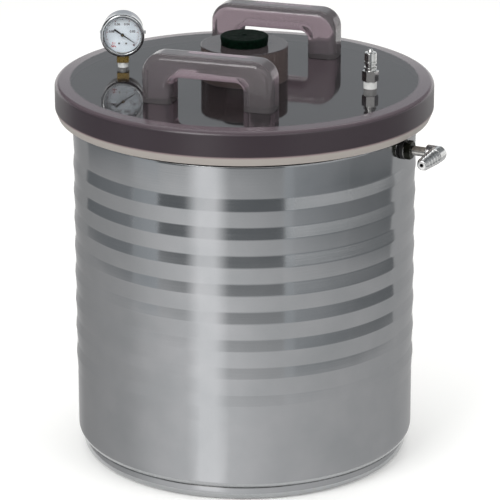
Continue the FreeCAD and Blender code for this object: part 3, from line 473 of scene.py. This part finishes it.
# Lid and neck: the sawn edge is chamfered below the top of the band that is painted pale. A drill is x, y,
# wide and narrow radius.
lid = {"bottom": 352.6, "top": 389.4, "radius": 190.4, "chamferRadius": 187.2, "chamferLow": 354.6,
       "chamferRound": 0.6, "bandTop": 362.6, "bandRound": 1.5, "upperRound": 5.0, "bore": 23.29,
       "ringStart": 175.0, "ringDrop": 1.0, "ringEase": 0.3, "grooveIn": 163.8, "grooveOut": 176.2,
       "grooveTop": 356.0, "grooveWall": 2.0, "neckRadius": 43.7, "neckTop": 424.4, "neckRound": 0.8,
       "drills": ((-130.0, 0.0, 5.35, 2.5), (130.5, 3.0, 6.6, 5.0)), "drillDepth": 15.0, "sides": 192}

finishes = {
    "stainless": beltPolishedStainless(),
    "acrylic": smokeAcrylic(),
    "glass": windowGlass(),
    # Rubber and tape: dull green that is nearly black, black with a bloom, and chalky white
    "greenRubber": mouldedRubber("greenRubber", "#000a05", "#04190f", 0.65, 0.04),
    "blackRubber": mouldedRubber("blackRubber", "#101010", "#1c1b1b", 0.55),
    "tape": mouldedRubber("threadTape", "#e2e3e1", "#f2f2f0", 0.6),
    # Metals: the smoother they are, the sharper and more contrasty their mirror images
    "turnedSteel": workedMetal("turnedSteel", "#b4b2ae", "#cfcdc9", 0.13),
    "castNickel": workedMetal("castNickel", "#d3d3d2", "#efefee", 0.2, 4.0),
    "platedSteel": workedMetal("platedSteel", "#cfcfcd", "#e8e8e6", 0.1, 4.0),
    "blackSteel": workedMetal("blackenedSteel", "#23251f", "#35372f", 0.3),
    "chrome": workedMetal("chromePlate", "#c9cbcd", "#dcdedf", 0.05),
    "brass": workedMetal("machinedBrass", "#a98c4c", "#c0a566", 0.24),
    # Paint: glossy stoved enamel on the gauge's case, and matt print on its dial
    "greyEnamel": paintedFace("greyEnamel", "#6d7279", "#797e85", 0.28, 0.3),
    "dialWhite": paintedFace("dialWhite", "#ccd5dc", "#d6dee4", 0.5),
    "dialPrint": paintedFace("dialPrint", "#2e1f26", "#38272e", 0.5),
    "dialStroke": paintedFace("dialStroke", "#6d2f35", "#7a373c", 0.5),
    "dialBlack": paintedFace("dialBlack", "#101113", "#17181a", 0.4),
    "dialRed": paintedFace("dialRed", "#a81c22", "#b8282a", 0.5),
}

slotFinish = {"steel_sheet": "stainless", "steel_fitting": "turnedSteel", "nickel_plate": "castNickel",
              "black_steel": "blackSteel", "black_rubber": "blackRubber", "green_rubber": "greenRubber",
              "smoke_plastic": "acrylic", "grey_paint": "greyEnamel", "chrome": "chrome",
              "window_glass": "glass", "white_paint": "dialWhite", "black_paint": "dialBlack",
              "brass": "brass", "white_tape": "tape"}


def dressNodes():
    # Each solid takes the finish of its slot, and the ones that are replaced later take it too
    for entry in frame["record"]["subparts"]:
        item = nodes[entry["node"]]
        item.data.materials.clear()
        item.data.materials.append(finishes[slotFinish[entry["material_slot"]]])


dressNodes()
print("materials made")


# Shapes
def newTree(name, sockets):
    tree = bpy.data.node_groups.new(name, "GeometryNodeTree")
    tree.interface.new_socket("Geometry", in_out="OUTPUT", socket_type="NodeSocketGeometry")
    tree.interface.new_socket("Geometry", in_out="INPUT", socket_type="NodeSocketGeometry")
    for label, kind in sockets:
        tree.interface.new_socket(label, in_out="INPUT", socket_type=kind)
    return tree


def plainMesh(item):
    # The object's mesh with its modifiers worked in
    bpy.context.view_layer.update()
    return bpy.data.meshes.new_from_object(item.evaluated_get(bpy.context.evaluated_depsgraph_get()))


def applyTree(item, tree, values):
    modifier = item.modifiers.new("shape", "NODES")
    modifier.node_group = tree
    for socket in tree.interface.items_tree:
        if socket.in_out == "INPUT" and socket.name in values:
            modifier[socket.identifier] = values[socket.name]
    mesh = plainMesh(item)
    item.modifiers.remove(modifier)
    item.data = mesh


def turningTree():
    # Turns the points of a profile (radius on X, height on Z) about the Z axis
    tree = newTree("turning", [("Segments", "NodeSocketInt"), ("Rows", "NodeSocketInt"),
                               ("Material", "NodeSocketMaterial")])
    given = addNode(tree, "NodeGroupInput").outputs
    columns = addNode(tree, "ShaderNodeMath", {0: given["Segments"], 1: 1.0}, operation="ADD")
    grid = addNode(tree, "GeometryNodeMeshGrid", {"Vertices X": columns.outputs[0],
                                                  "Vertices Y": given["Rows"]})
    index = addNode(tree, "GeometryNodeInputIndex")
    share = addNode(tree, "ShaderNodeMath", {0: index.outputs[0], 1: given["Rows"]}, operation="DIVIDE")
    column = addNode(tree, "ShaderNodeMath", {0: share.outputs[0]}, operation="FLOOR")
    row = addNode(tree, "ShaderNodeMath", {0: index.outputs[0], 1: given["Rows"]}, operation="MODULO")
    place = addNode(tree, "GeometryNodeInputPosition")
    point = addNode(tree, "GeometryNodeSampleIndex", {"Geometry": given["Geometry"], "Index": row.outputs[0]},
                    data_type="FLOAT_VECTOR")
    tree.links.new(place.outputs[0], [s for s in point.inputs if s.name == "Value" and s.enabled][0])
    sampled = [s for s in point.outputs if s.enabled][0]
    part = addNode(tree, "ShaderNodeMath", {0: column.outputs[0], 1: given["Segments"]}, operation="DIVIDE")
    angle = addNode(tree, "ShaderNodeMath", {0: part.outputs[0], 1: 2 * math.pi}, operation="MULTIPLY")
    turn = addNode(tree, "ShaderNodeVectorRotate", {"Vector": sampled, "Angle": angle.outputs[0]},
                   rotation_type="Z_AXIS")
    moved = addNode(tree, "GeometryNodeSetPosition", {"Geometry": grid.outputs[0],
                                                      "Position": turn.outputs[0]})
    merged = addNode(tree, "GeometryNodeMergeByDistance", {"Geometry": moved.outputs[0],
                                                           "Distance": 0.002 * mm})
    smooth = addNode(tree, "GeometryNodeSetShadeSmooth", {"Geometry": merged.outputs[0]})
    real = addNode(tree, "GeometryNodeRealizeInstances", {"Geometry": smooth.outputs[0]})
    dressed = addNode(tree, "GeometryNodeSetMaterial", {"Geometry": real.outputs[0],
                                                        "Material": given["Material"]})
    addNode(tree, "NodeGroupOutput", {"Geometry": dressed.outputs[0]})
    return tree


def rounded(corners, steps=8, closed=True):
    # Corners are (x, y) or (x, y, bend radius), and a bend becomes an arc of that many steps
    points = []
    count = len(corners)
    for i, corner in enumerate(corners):
        here = Vector(corner[:2])
        if len(corner) < 3 or (not closed and i in (0, count - 1)):
            points.append(tuple(here))
            continue
        before = (Vector(corners[i - 1][:2]) - here).normalized()
        after = (Vector(corners[(i + 1) % count][:2]) - here).normalized()
        half = before.angle(after) / 2
        centre = here + (before + after).normalized() * corner[2] / math.sin(half)
        run = corner[2] / math.tan(half)
        start, end = here + before * run - centre, here + after * run - centre
        sweep = start.angle_signed(end)
        for k in range(steps + 1):
            turn = -sweep * k / steps
            points.append((centre.x + start.x * math.cos(turn) - start.y * math.sin(turn),
                           centre.y + start.x * math.sin(turn) + start.y * math.cos(turn)))
    return points


def settle(item, place=None, sharp=30):
    # Faces point outwards, edges past the sharp angle stay crisp, and broad or level faces shade flat. Old
    # normals, which a joint carries over, are dropped first.
    mesh = item.data
    if place is not None:
        mesh.transform(place)
    work = bmesh.new()
    work.from_mesh(mesh)
    bmesh.ops.recalc_face_normals(work, faces=work.faces)
    work.to_mesh(mesh)
    work.free()
    if mesh.has_custom_normals:
        mesh.attributes.remove(mesh.attributes["custom_normal"])
    mesh.shade_smooth()
    mesh.set_sharp_from_angle(angle=math.radians(sharp))
    weigh = item.modifiers.new("flats", "WEIGHTED_NORMAL")
    weigh.keep_sharp = True
    fresh = plainMesh(item)
    normals = [corner.vector.copy() for corner in fresh.corner_normals]
    for polygon in fresh.polygons:
        if polygon.normal.z > 0.99999:
            for corner in polygon.loop_indices:
                normals[corner] = Vector((0, 0, 1))
    fresh.normals_split_custom_set(normals)
    item.modifiers.remove(weigh)
    item.data = fresh
    return item


turning = turningTree()


def turned(name, profile, finish, place=None, segments=96, sharp=30):
    # A profile of radius and height, turned about Z and then put in its place
    points = [(x * mm, 0, y * mm) for x, y in profile + profile[:1]]
    item = newMesh(name, points, [])
    applyTree(item, turning, {"Segments": segments, "Rows": len(points), "Material": finishes[finish]})
    return settle(item, place, sharp)


def finished(item, body, slot, *replaced):
    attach(item, body)
    if replaced:
        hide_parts(*replaced)


def beadedWall(p, inset):
    # The sheet's face from the foot to the rim, as far inside the outer one as inset says. Over each crest
    # the sheet leans in on a short flank, then out again on a longer one up to the next crest.
    bend, bead = p["lowerBend"], p["beadBend"]
    rise = math.sqrt(bend ** 2 - (bend - p["wallRadius"] + p["footRadius"]) ** 2)
    points = []
    steps = 8
    for k in range(steps + 1):
        drop = rise * (1 - k / steps)
        points.append((p["wallRadius"] - bend + math.sqrt((bend - inset) ** 2 - drop ** 2),
                       p["footHeight"] + rise - drop))
    crest, valley = p["wallRadius"] + p["beadHeight"] - inset, p["wallRadius"] - inset
    low = p["topBead"] - (p["beads"] - 1) * p["beadPitch"]
    corners = [points.pop(), (valley, low - p["beadPitch"] + p["beadFlank"], bead)]
    for k in range(p["beads"]):
        level = low + k * p["beadPitch"]
        corners += [(crest, level, bead), (valley, level + p["beadFlank"], bead)]
    end = (p["wallRadius"] + p["beadHeight"] - p["rimFlange"], p["height"] - inset)
    corners += [(valley + p["flare"], p["height"] - inset, p["rimBend"] - inset), end]
    return points + rounded(corners, 4, closed=False)


def makeTank(p):
    wall = turned("tankWall", beadedWall(p, 0) + beadedWall(p, p["sheet"])[::-1], "stainless",
                  segments=p["sides"])
    finished(wall, "tank", "steel_sheet", "tank_shell")
    foot, thin, lip = p["footRadius"], p["panSheet"], p["footHeight"]
    pan = turned("tankPan", rounded([
        (0, 0), (foot, 0, p["panBend"]), (foot, lip, p["seam"]), (foot - thin, lip),
        (foot - thin, thin, p["panBend"] - thin), (0, thin)]), "stainless", segments=p["sides"])
    finished(pan, "tank", "steel_sheet", "tank_bottom")


makeTank(tank)
print("tank made")

# Lid, neck and handles: one clear block once they are glued. The handles' feet are sunk into it.
handle = {"length": 134.0, "height": 50.0, "depth": 30.0, "leg": 30.0, "bar": 23.0, "outerRound": 20.0,
          "innerRound": 8.0, "edgeRound": 7.0, "edgeSteps": 8, "offset": 103.5, "sunk": 1.0}


def handleBlock(name, p, side, level):
    # A bridge cut from plate, with every edge but the feet's rounded over
    half, inner = p["length"] / 2, p["length"] / 2 - p["leg"]
    under = p["height"] - p["bar"]
    outline = rounded([
        (half, -p["sunk"]), (half, p["height"], p["outerRound"]), (-half, p["height"], p["outerRound"]),
        (-half, -p["sunk"]), (-inner, -p["sunk"]), (-inner, under, p["innerRound"]),
        (inner, under, p["innerRound"]), (inner, -p["sunk"])], 12)
    work = bmesh.new()
    ends = [[work.verts.new((x * mm, y * mm, z * mm)) for x, z in outline]
            for y in (-p["depth"] / 2, p["depth"] / 2)]
    count = len(outline)
    work.faces.new(ends[0])
    work.faces.new(ends[1][::-1])
    for i in range(count):
        j = (i + 1) % count
        work.faces.new((ends[0][i], ends[1][i], ends[1][j], ends[0][j]))
    bmesh.ops.recalc_face_normals(work, faces=work.faces)
    foot = -p["sunk"] * mm + 1e-7
    edges = [e for e in work.edges if abs(e.verts[0].co.y - e.verts[1].co.y) < 1e-9
             and not (e.verts[0].co.z < foot and e.verts[1].co.z < foot)]
    bmesh.ops.bevel(work, geom=edges, offset=p["edgeRound"] * mm, segments=p["edgeSteps"], profile=0.5,
                    affect="EDGES")
    mesh = bpy.data.meshes.new(name)
    work.to_mesh(mesh)
    work.free()
    mesh.transform(Matrix.Translation(Vector((0, side * p["offset"], level)) * mm))
    return newObject(name, mesh)


def combine(item, tool, operation):
    # Joins or cuts with the tool, which is used up
    modifier = item.modifiers.new("joint", "BOOLEAN")
    modifier.object = tool
    modifier.operation = operation
    modifier.solver = "EXACT"
    mesh = plainMesh(item)
    item.modifiers.remove(modifier)
    item.data = mesh
    bpy.data.objects.remove(tool)


def makeLid(p, h):
    low, top, bore = p["bottom"], p["top"], p["bore"]
    profile = rounded([
        (bore, low), (p["grooveIn"], low), (p["grooveIn"], p["grooveTop"]), (p["grooveOut"], p["grooveTop"]),
        (p["grooveOut"], low), (p["grooveOut"] + p["grooveWall"], low),
        (p["chamferRadius"], p["chamferLow"], p["chamferRound"]), (p["radius"], p["bandTop"], p["bandRound"]),
        (p["radius"], top - p["ringDrop"], p["upperRound"]), (p["ringStart"], top),
        (p["ringStart"] - p["ringEase"], top), (p["neckRadius"], top),
        (p["neckRadius"], p["neckTop"], p["neckRound"]), (bore, p["neckTop"])])
    block = turned("clearLid", profile, "acrylic", segments=p["sides"])
    for side in (-1, 1):
        combine(block, handleBlock("handleTool", h, side, top), "UNION")
    start, over = top - p["drillDepth"], 5
    for x, y, wide, narrow in p["drills"]:
        drill = turned("drillTool", [(0, low - over), (narrow, low - over), (narrow, start), (wide, start),
                                     (wide, top + over), (0, top + over)], "acrylic",
                       Matrix.Translation(Vector((x, y, 0)) * mm), 48)
        combine(block, drill, "DIFFERENCE")
    block.data.materials.clear()
    block.data.materials.append(finishes["acrylic"])
    settle(block, sharp=24)
    finished(block, "lid", "smoke_plastic", "lid_plate", "neck_boss", "front_handle", "rear_handle")


makeLid(lid, handle)
print("lid made")

# Stopper: tapered rubber with a small dimple in its top
stopper = {"topRadius": 24.4, "neckRadius": 23.1, "endRadius": 20.5, "length": 38.0, "top": 433.4,
           "edge": 1.6, "endEdge": 1.0, "dimple": 2.2, "dimpleDepth": 0.8}


def makeStopper(p):
    low, top = p["top"] - p["length"], p["top"]
    piece = turned("greenStopper", rounded([
        (0, low), (p["endRadius"], low, p["endEdge"]), (p["neckRadius"], lid["neckTop"]),
        (p["topRadius"], top, p["edge"]),
        (p["dimple"] + 0.5, top, 0.4), (p["dimple"] - 0.3, top - p["dimpleDepth"], 0.3),
        (0, top - p["dimpleDepth"])]), "greenRubber")
    finished(piece, "stopper", "green_rubber", "stopper")


makeStopper(stopper)
print("stopper made")

# A turn of thread tape dips at both edges, so that the turns show
tapeTurn = {"dip": 0.22, "rise": 0.25, "shoulder": 0.05, "fall": 0.3, "tuck": 0.12}
# Vacuum gauge: glass, ring, printed scale, and thread tape as outer and inner radius, from, to and width
gauge = {"x": -130.0, "y": 0.0, "turn": 18.6, "dialLevel": 424.4, "dialFace": 5.5, "tickRadius": 17.2,
         "startAngle": -45.0, "sweep": 270.0, "ticks": 51, "print": 0.05, "shortTick": 1.3, "longTick": 2.6,
         "tickWidth": 0.28, "glassFront": 10.6, "glassBack": 9.0, "glassRadius": 20.4, "glassEdge": 0.2,
         "ringRadius": 22.3, "ringFront": 12.1, "ringRound": 2.2, "opening": 18.3, "lip": 0.9,
         "lipRound": 0.8, "lipStand": 0.3, "skirtBack": 5.0, "skirtInner": 20.6, "skirtRound": 0.3,
         "tape": (5.35, 4.85, -15.0, 5.5, 1.3)}
dialPlace = (Matrix.Translation(Vector((gauge["x"], gauge["y"], gauge["dialLevel"])) * mm)
             @ Matrix.Rotation(math.radians(gauge["turn"]), 4, "Z") @ Matrix.Rotation(math.pi / 2, 4, "X"))
# Print on the dial: text, place to the right of and above the centre, and size
numbers = [("0", 11.4, -10.9, 3.4), ("0.02", 10.2, 3.2, 3.3), ("0.04", 4.5, 10.6, 3.3),
           ("0.06", -5.1, 10.6, 3.3), ("0.08", -10.9, 3.2, 3.3)]
units = [("0.1", -8.9, -9.2, 3.0), ("MPa", -8.9, -12.3, 2.7)]


def printWords(name, words, finish):
    level = gauge["dialFace"] + gauge["print"] / 2
    work = bmesh.new()
    for text, x, y, size in words:
        curve = bpy.data.curves.new("word", "FONT")
        curve.body, curve.size = text, size * mm
        curve.align_x = curve.align_y = "CENTER"
        curve.extrude = gauge["print"] / 2 * mm
        curve.offset = 0.03 * size * mm
        curve.resolution_u = 3
        holder = newObject("word", curve)
        mesh = plainMesh(holder)
        mesh.transform(dialPlace @ Matrix.Translation(Vector((x, y, level)) * mm))
        work.from_mesh(mesh)
        bpy.data.objects.remove(holder)
    mesh = bpy.data.meshes.new(name)
    work.to_mesh(mesh)
    work.free()
    mesh.materials.append(finishes[finish])
    finished(newObject(name, mesh), "lid", "black_paint")


def tickTree():
    # Strokes round an arc: every fifth is longer, every tenth longest and thicker
    sockets = [("Count", "NodeSocketInt"), ("Material", "NodeSocketMaterial")]
    sockets += [(label, "NodeSocketFloat") for label in ("Radius", "Start", "Sweep", "Short", "Long", "Width",
                                                         "Thickness")]
    tree = newTree("scaleStrokes", sockets)
    given = addNode(tree, "NodeGroupInput").outputs
    index = addNode(tree, "GeometryNodeInputIndex").outputs[0]
    last = addNode(tree, "ShaderNodeMath", {0: given["Count"], 1: 1.0}, operation="SUBTRACT")
    share = addNode(tree, "ShaderNodeMath", {0: index, 1: last.outputs[0]}, operation="DIVIDE")
    angle = addNode(tree, "ShaderNodeMath", {0: share.outputs[0], 1: given["Sweep"], 2: given["Start"]},
                    operation="MULTIPLY_ADD")
    tenth = addNode(tree, "ShaderNodeMath", {0: index, 1: 10.0}, operation="MODULO")
    isTenth = addNode(tree, "ShaderNodeMath", {0: tenth.outputs[0], 1: 0.5}, operation="LESS_THAN")
    fifth = addNode(tree, "ShaderNodeMath", {0: index, 1: 5.0}, operation="MODULO")
    isFifth = addNode(tree, "ShaderNodeMath", {0: fifth.outputs[0], 1: 0.5}, operation="LESS_THAN")
    grade = addNode(tree, "ShaderNodeMath", {0: isTenth.outputs[0], 1: isFifth.outputs[0]}, operation="ADD")
    half = addNode(tree, "ShaderNodeMath", {0: grade.outputs[0], 1: 0.5}, operation="MULTIPLY")
    length = addNode(tree, "ShaderNodeMapRange", {"Value": half.outputs[0], "To Min": given["Short"],
                                                  "To Max": given["Long"]})
    wide = addNode(tree, "ShaderNodeMath", {0: half.outputs[0], 1: given["Width"], 2: given["Width"]},
                   operation="MULTIPLY_ADD")
    inward = addNode(tree, "ShaderNodeMath", {0: length.outputs[0], 1: -0.5, 2: given["Radius"]},
                     operation="MULTIPLY_ADD")
    arm = addNode(tree, "ShaderNodeCombineXYZ", {"X": inward.outputs[0]})
    place = addNode(tree, "ShaderNodeVectorRotate", {"Vector": arm.outputs[0], "Angle": angle.outputs[0]},
                    rotation_type="Z_AXIS")
    points = addNode(tree, "GeometryNodePoints", {"Count": given["Count"], "Position": place.outputs[0]})
    stroke = addNode(tree, "GeometryNodeMeshCube", {"Size": (1, 1, 1)})
    size = addNode(tree, "ShaderNodeCombineXYZ", {"X": length.outputs[0], "Y": wide.outputs[0],
                                                  "Z": given["Thickness"]})
    turn = addNode(tree, "ShaderNodeCombineXYZ", {"Z": angle.outputs[0]})
    copies = addNode(tree, "GeometryNodeInstanceOnPoints", {
        "Points": points.outputs[0], "Instance": stroke.outputs[0], "Rotation": turn.outputs[0],
        "Scale": size.outputs[0]})
    real = addNode(tree, "GeometryNodeRealizeInstances", {"Geometry": copies.outputs[0]})
    dressed = addNode(tree, "GeometryNodeSetMaterial", {"Geometry": real.outputs[0],
                                                        "Material": given["Material"]})
    addNode(tree, "NodeGroupOutput", {"Geometry": dressed.outputs[0]})
    return tree


def tapeProfile(p, outer, inner, low, high, width):
    # The turns of tape from low to high, and the bore inside them
    points = []
    count = max(1, int(round((high - low) / width)))
    for k in range(count):
        start, end = low + (high - low) * k / count, low + (high - low) * (k + 1) / count
        points += [(outer - p["dip"], start), (outer - p["shoulder"], start + p["rise"]),
                   (outer, end - p["fall"]), (outer - p["tuck"], end)]
    return points + [(inner, high), (inner, low)]


def makeGauge(p):
    strokes = newMesh("scaleStrokes", [(0, 0, 0)], [])
    applyTree(strokes, tickTree(), {"Count": p["ticks"], "Radius": p["tickRadius"] * mm,
                                    "Start": math.radians(p["startAngle"]), "Sweep": math.radians(p["sweep"]),
                                    "Short": p["shortTick"] * mm, "Long": p["longTick"] * mm,
                                    "Width": p["tickWidth"] * mm, "Thickness": p["print"] * mm,
                                    "Material": finishes["dialStroke"]})
    strokes.data.transform(dialPlace @ Matrix.Translation((0, 0, (p["dialFace"] + p["print"] / 2) * mm)))
    finished(strokes, "lid", "black_paint")
    printWords("scaleNumbers", numbers, "dialPrint")
    printWords("scaleUnits", units, "dialRed")
    front, back, rim, edge = p["glassFront"], p["glassBack"], p["glassRadius"], p["glassEdge"]
    glass = turned("clearWindow", rounded([(0, back), (rim, back, edge), (rim, front, edge), (0, front)], 3),
                   "glass", dialPlace)
    glass.visible_shadow = False
    finished(glass, "lid", "window_glass", "gauge_window")
    ring = turned("chromeBezel", rounded([
        (p["skirtInner"], p["skirtBack"]), (p["ringRadius"], p["skirtBack"], p["skirtRound"]),
        (p["ringRadius"], p["ringFront"], p["ringRound"]),
        (p["opening"] + p["lip"], p["ringFront"], p["lipRound"]), (p["opening"], front + p["lipStand"]),
        (p["opening"], front), (p["skirtInner"], front)]), "chrome", dialPlace)
    finished(ring, "lid", "chrome", "gauge_bezel")
    stem = Matrix.Translation(Vector((p["x"], p["y"], lid["top"])) * mm)
    tape = turned("gaugeTape", tapeProfile(tapeTurn, *p["tape"]), "tape", stem, 64, sharp=80)
    finished(tape, "lid", "white_tape", "gauge_seal_tape")


makeGauge(gauge)
print("gauge made")

# Coupler plug: hexagon, then turned rings up to the tip, each a radius, level above the lid and rounding
plug = {"x": 130.5, "y": 3.0, "turn": -11.4, "thread": 6.1, "reach": -15.0, "hexagon": 14.2,
        "hexagonLow": 7.2, "hexagonTop": 18.3, "hexagonEdge": 0.7, "bore": 2.2, "tipBore": 0.9,
        "tipLength": 5.0, "tape": (6.6, 6.1, -15.0, 7.2, 2.2), "sides": 64,
        "rings": [(5.6, 17.8), (5.6, 19.9), (6.5, 20.2, 0.2), (6.5, 21.6, 0.3),
                  (5.0, 22.2), (5.0, 24.6), (6.2, 25.2, 0.3), (6.2, 27.3, 0.3), (5.7, 27.6), (5.7, 28.2),
                  (6.0, 28.5), (6.0, 36.4, 0.8), (2.9, 37.2), (1.7, 39.9, 0.3)]}


def makePlug(p):
    # The turning's six sides start at a corner, which is 30 degrees from the middle of a flat
    place = (Matrix.Translation(Vector((p["x"], p["y"], lid["top"])) * mm)
             @ Matrix.Rotation(math.radians(p["turn"] + 30), 4, "Z"))
    tape = turned("plugTape", tapeProfile(tapeTurn, *p["tape"]), "tape", place, p["sides"], sharp=80)
    finished(tape, "lid", "white_tape", "coupler_seal_tape")
    tip = p["rings"][-1][1]
    profile = [(p["bore"], p["reach"]), (p["thread"], p["reach"]), (p["thread"], p["hexagonTop"] - 1)]
    profile += p["rings"] + [(p["tipBore"], tip), (p["tipBore"], tip - p["tipLength"]),
                             (p["bore"], tip - p["tipLength"] - 1)]
    body = turned("turnedPlug", rounded(profile, 4), "platedSteel", place, p["sides"])
    inner, corner, edge = p["bore"] + 1, p["hexagon"] / math.sqrt(3), p["hexagonEdge"]
    low, top = p["hexagonLow"], p["hexagonTop"]
    nut = turned("hexagonTool", [
        (inner, low), (corner - edge, low), (corner, low + edge / 2), (corner, top - edge / 2),
        (corner - edge, top), (inner, top)], "platedSteel", place, 6)
    combine(body, nut, "UNION")
    settle(body)
    finished(body, "lid", "steel_fitting", "coupler_plug")


# Hose elbow: socket out of the tank's side, round corner, then the barb with its five teeth
elbow = {"level": 337.5, "turn": -7.4, "start": 199.5, "centre": 211.5, "radius": 8.0, "edge": 1.0,
         "collar": 12.0, "collarEdge": 0.6, "neck": 1.5, "neckRadius": 4.5, "teeth": 5, "pitch": 5.8,
         "crest": 7.9, "step": 0.35, "land": 1.1, "fall": 1.9, "toothEdge": 0.25, "nose": 1.6,
         "socket": 4.85, "socketDepth": 7.0, "passage": 2.8, "mouth": 1.9, "mouthDepth": 4.0, "over": 1.0,
         "sides": 64, "boreSides": 48}


def makeElbow(p):
    place = (Matrix.Translation((0, 0, p["level"] * mm)) @ Matrix.Rotation(math.radians(p["turn"]), 4, "Z")
             @ Matrix.Rotation(math.pi / 2, 4, "Y"))
    start, centre, radius, passage = p["start"], p["centre"], p["radius"], p["passage"]
    socket = rounded([(0, start), (radius, start, p["edge"]), (radius, centre), (0, centre)])
    body = turned("castElbow", socket, "castNickel", place, p["sides"])
    turns = [math.pi * k / 24 for k in range(25)]
    ball = turned("ballTool", [(radius * math.sin(a), centre - radius * math.cos(a)) for a in turns],
                  "castNickel", place, p["sides"])
    combine(body, ball, "UNION")
    across = place @ Matrix.Translation((0, 0, centre * mm)) @ Matrix.Rotation(math.pi / 2, 4, "X")
    reach, crest = p["collar"] + p["neck"], p["crest"]
    barb = [(0, 0), (radius, 0), (radius, p["collar"], p["collarEdge"]), (p["neckRadius"], p["collar"]),
            (p["neckRadius"], reach)]
    for k in range(p["teeth"]):
        barb += [(crest, reach, p["toothEdge"]), (crest, reach + p["land"], p["toothEdge"]),
                 (crest - p["fall"], reach + p["pitch"])]
        reach, crest = reach + p["pitch"], crest - p["step"]
    barb[-1] = (barb[-1][0], reach, p["nose"])
    barb.append((0, reach))
    combine(body, turned("barbTool", rounded(barb, 4), "castNickel", across, p["sides"]), "UNION")
    over, depth, narrow = p["over"], p["mouthDepth"], p["mouth"]
    inlet = turned("inletTool", [
        (0, start - over), (p["socket"], start - over), (p["socket"], start + p["socketDepth"]),
        (passage, start + p["socketDepth"]), (passage, centre), (0, centre + passage)],
        "castNickel", place, p["boreSides"])
    combine(body, inlet, "DIFFERENCE")
    outlet = turned("outletTool", [
        (0, -passage * 0.9), (passage, 0), (passage, reach - depth), (narrow, reach - depth + 1),
        (narrow, reach + over), (0, reach + over)], "castNickel", across, p["boreSides"])
    combine(body, outlet, "DIFFERENCE")
    settle(body)
    finished(body, "tank", "nickel_plate", "port_elbow")


makePlug(plug)
makeElbow(elbow)
print("fittings made")
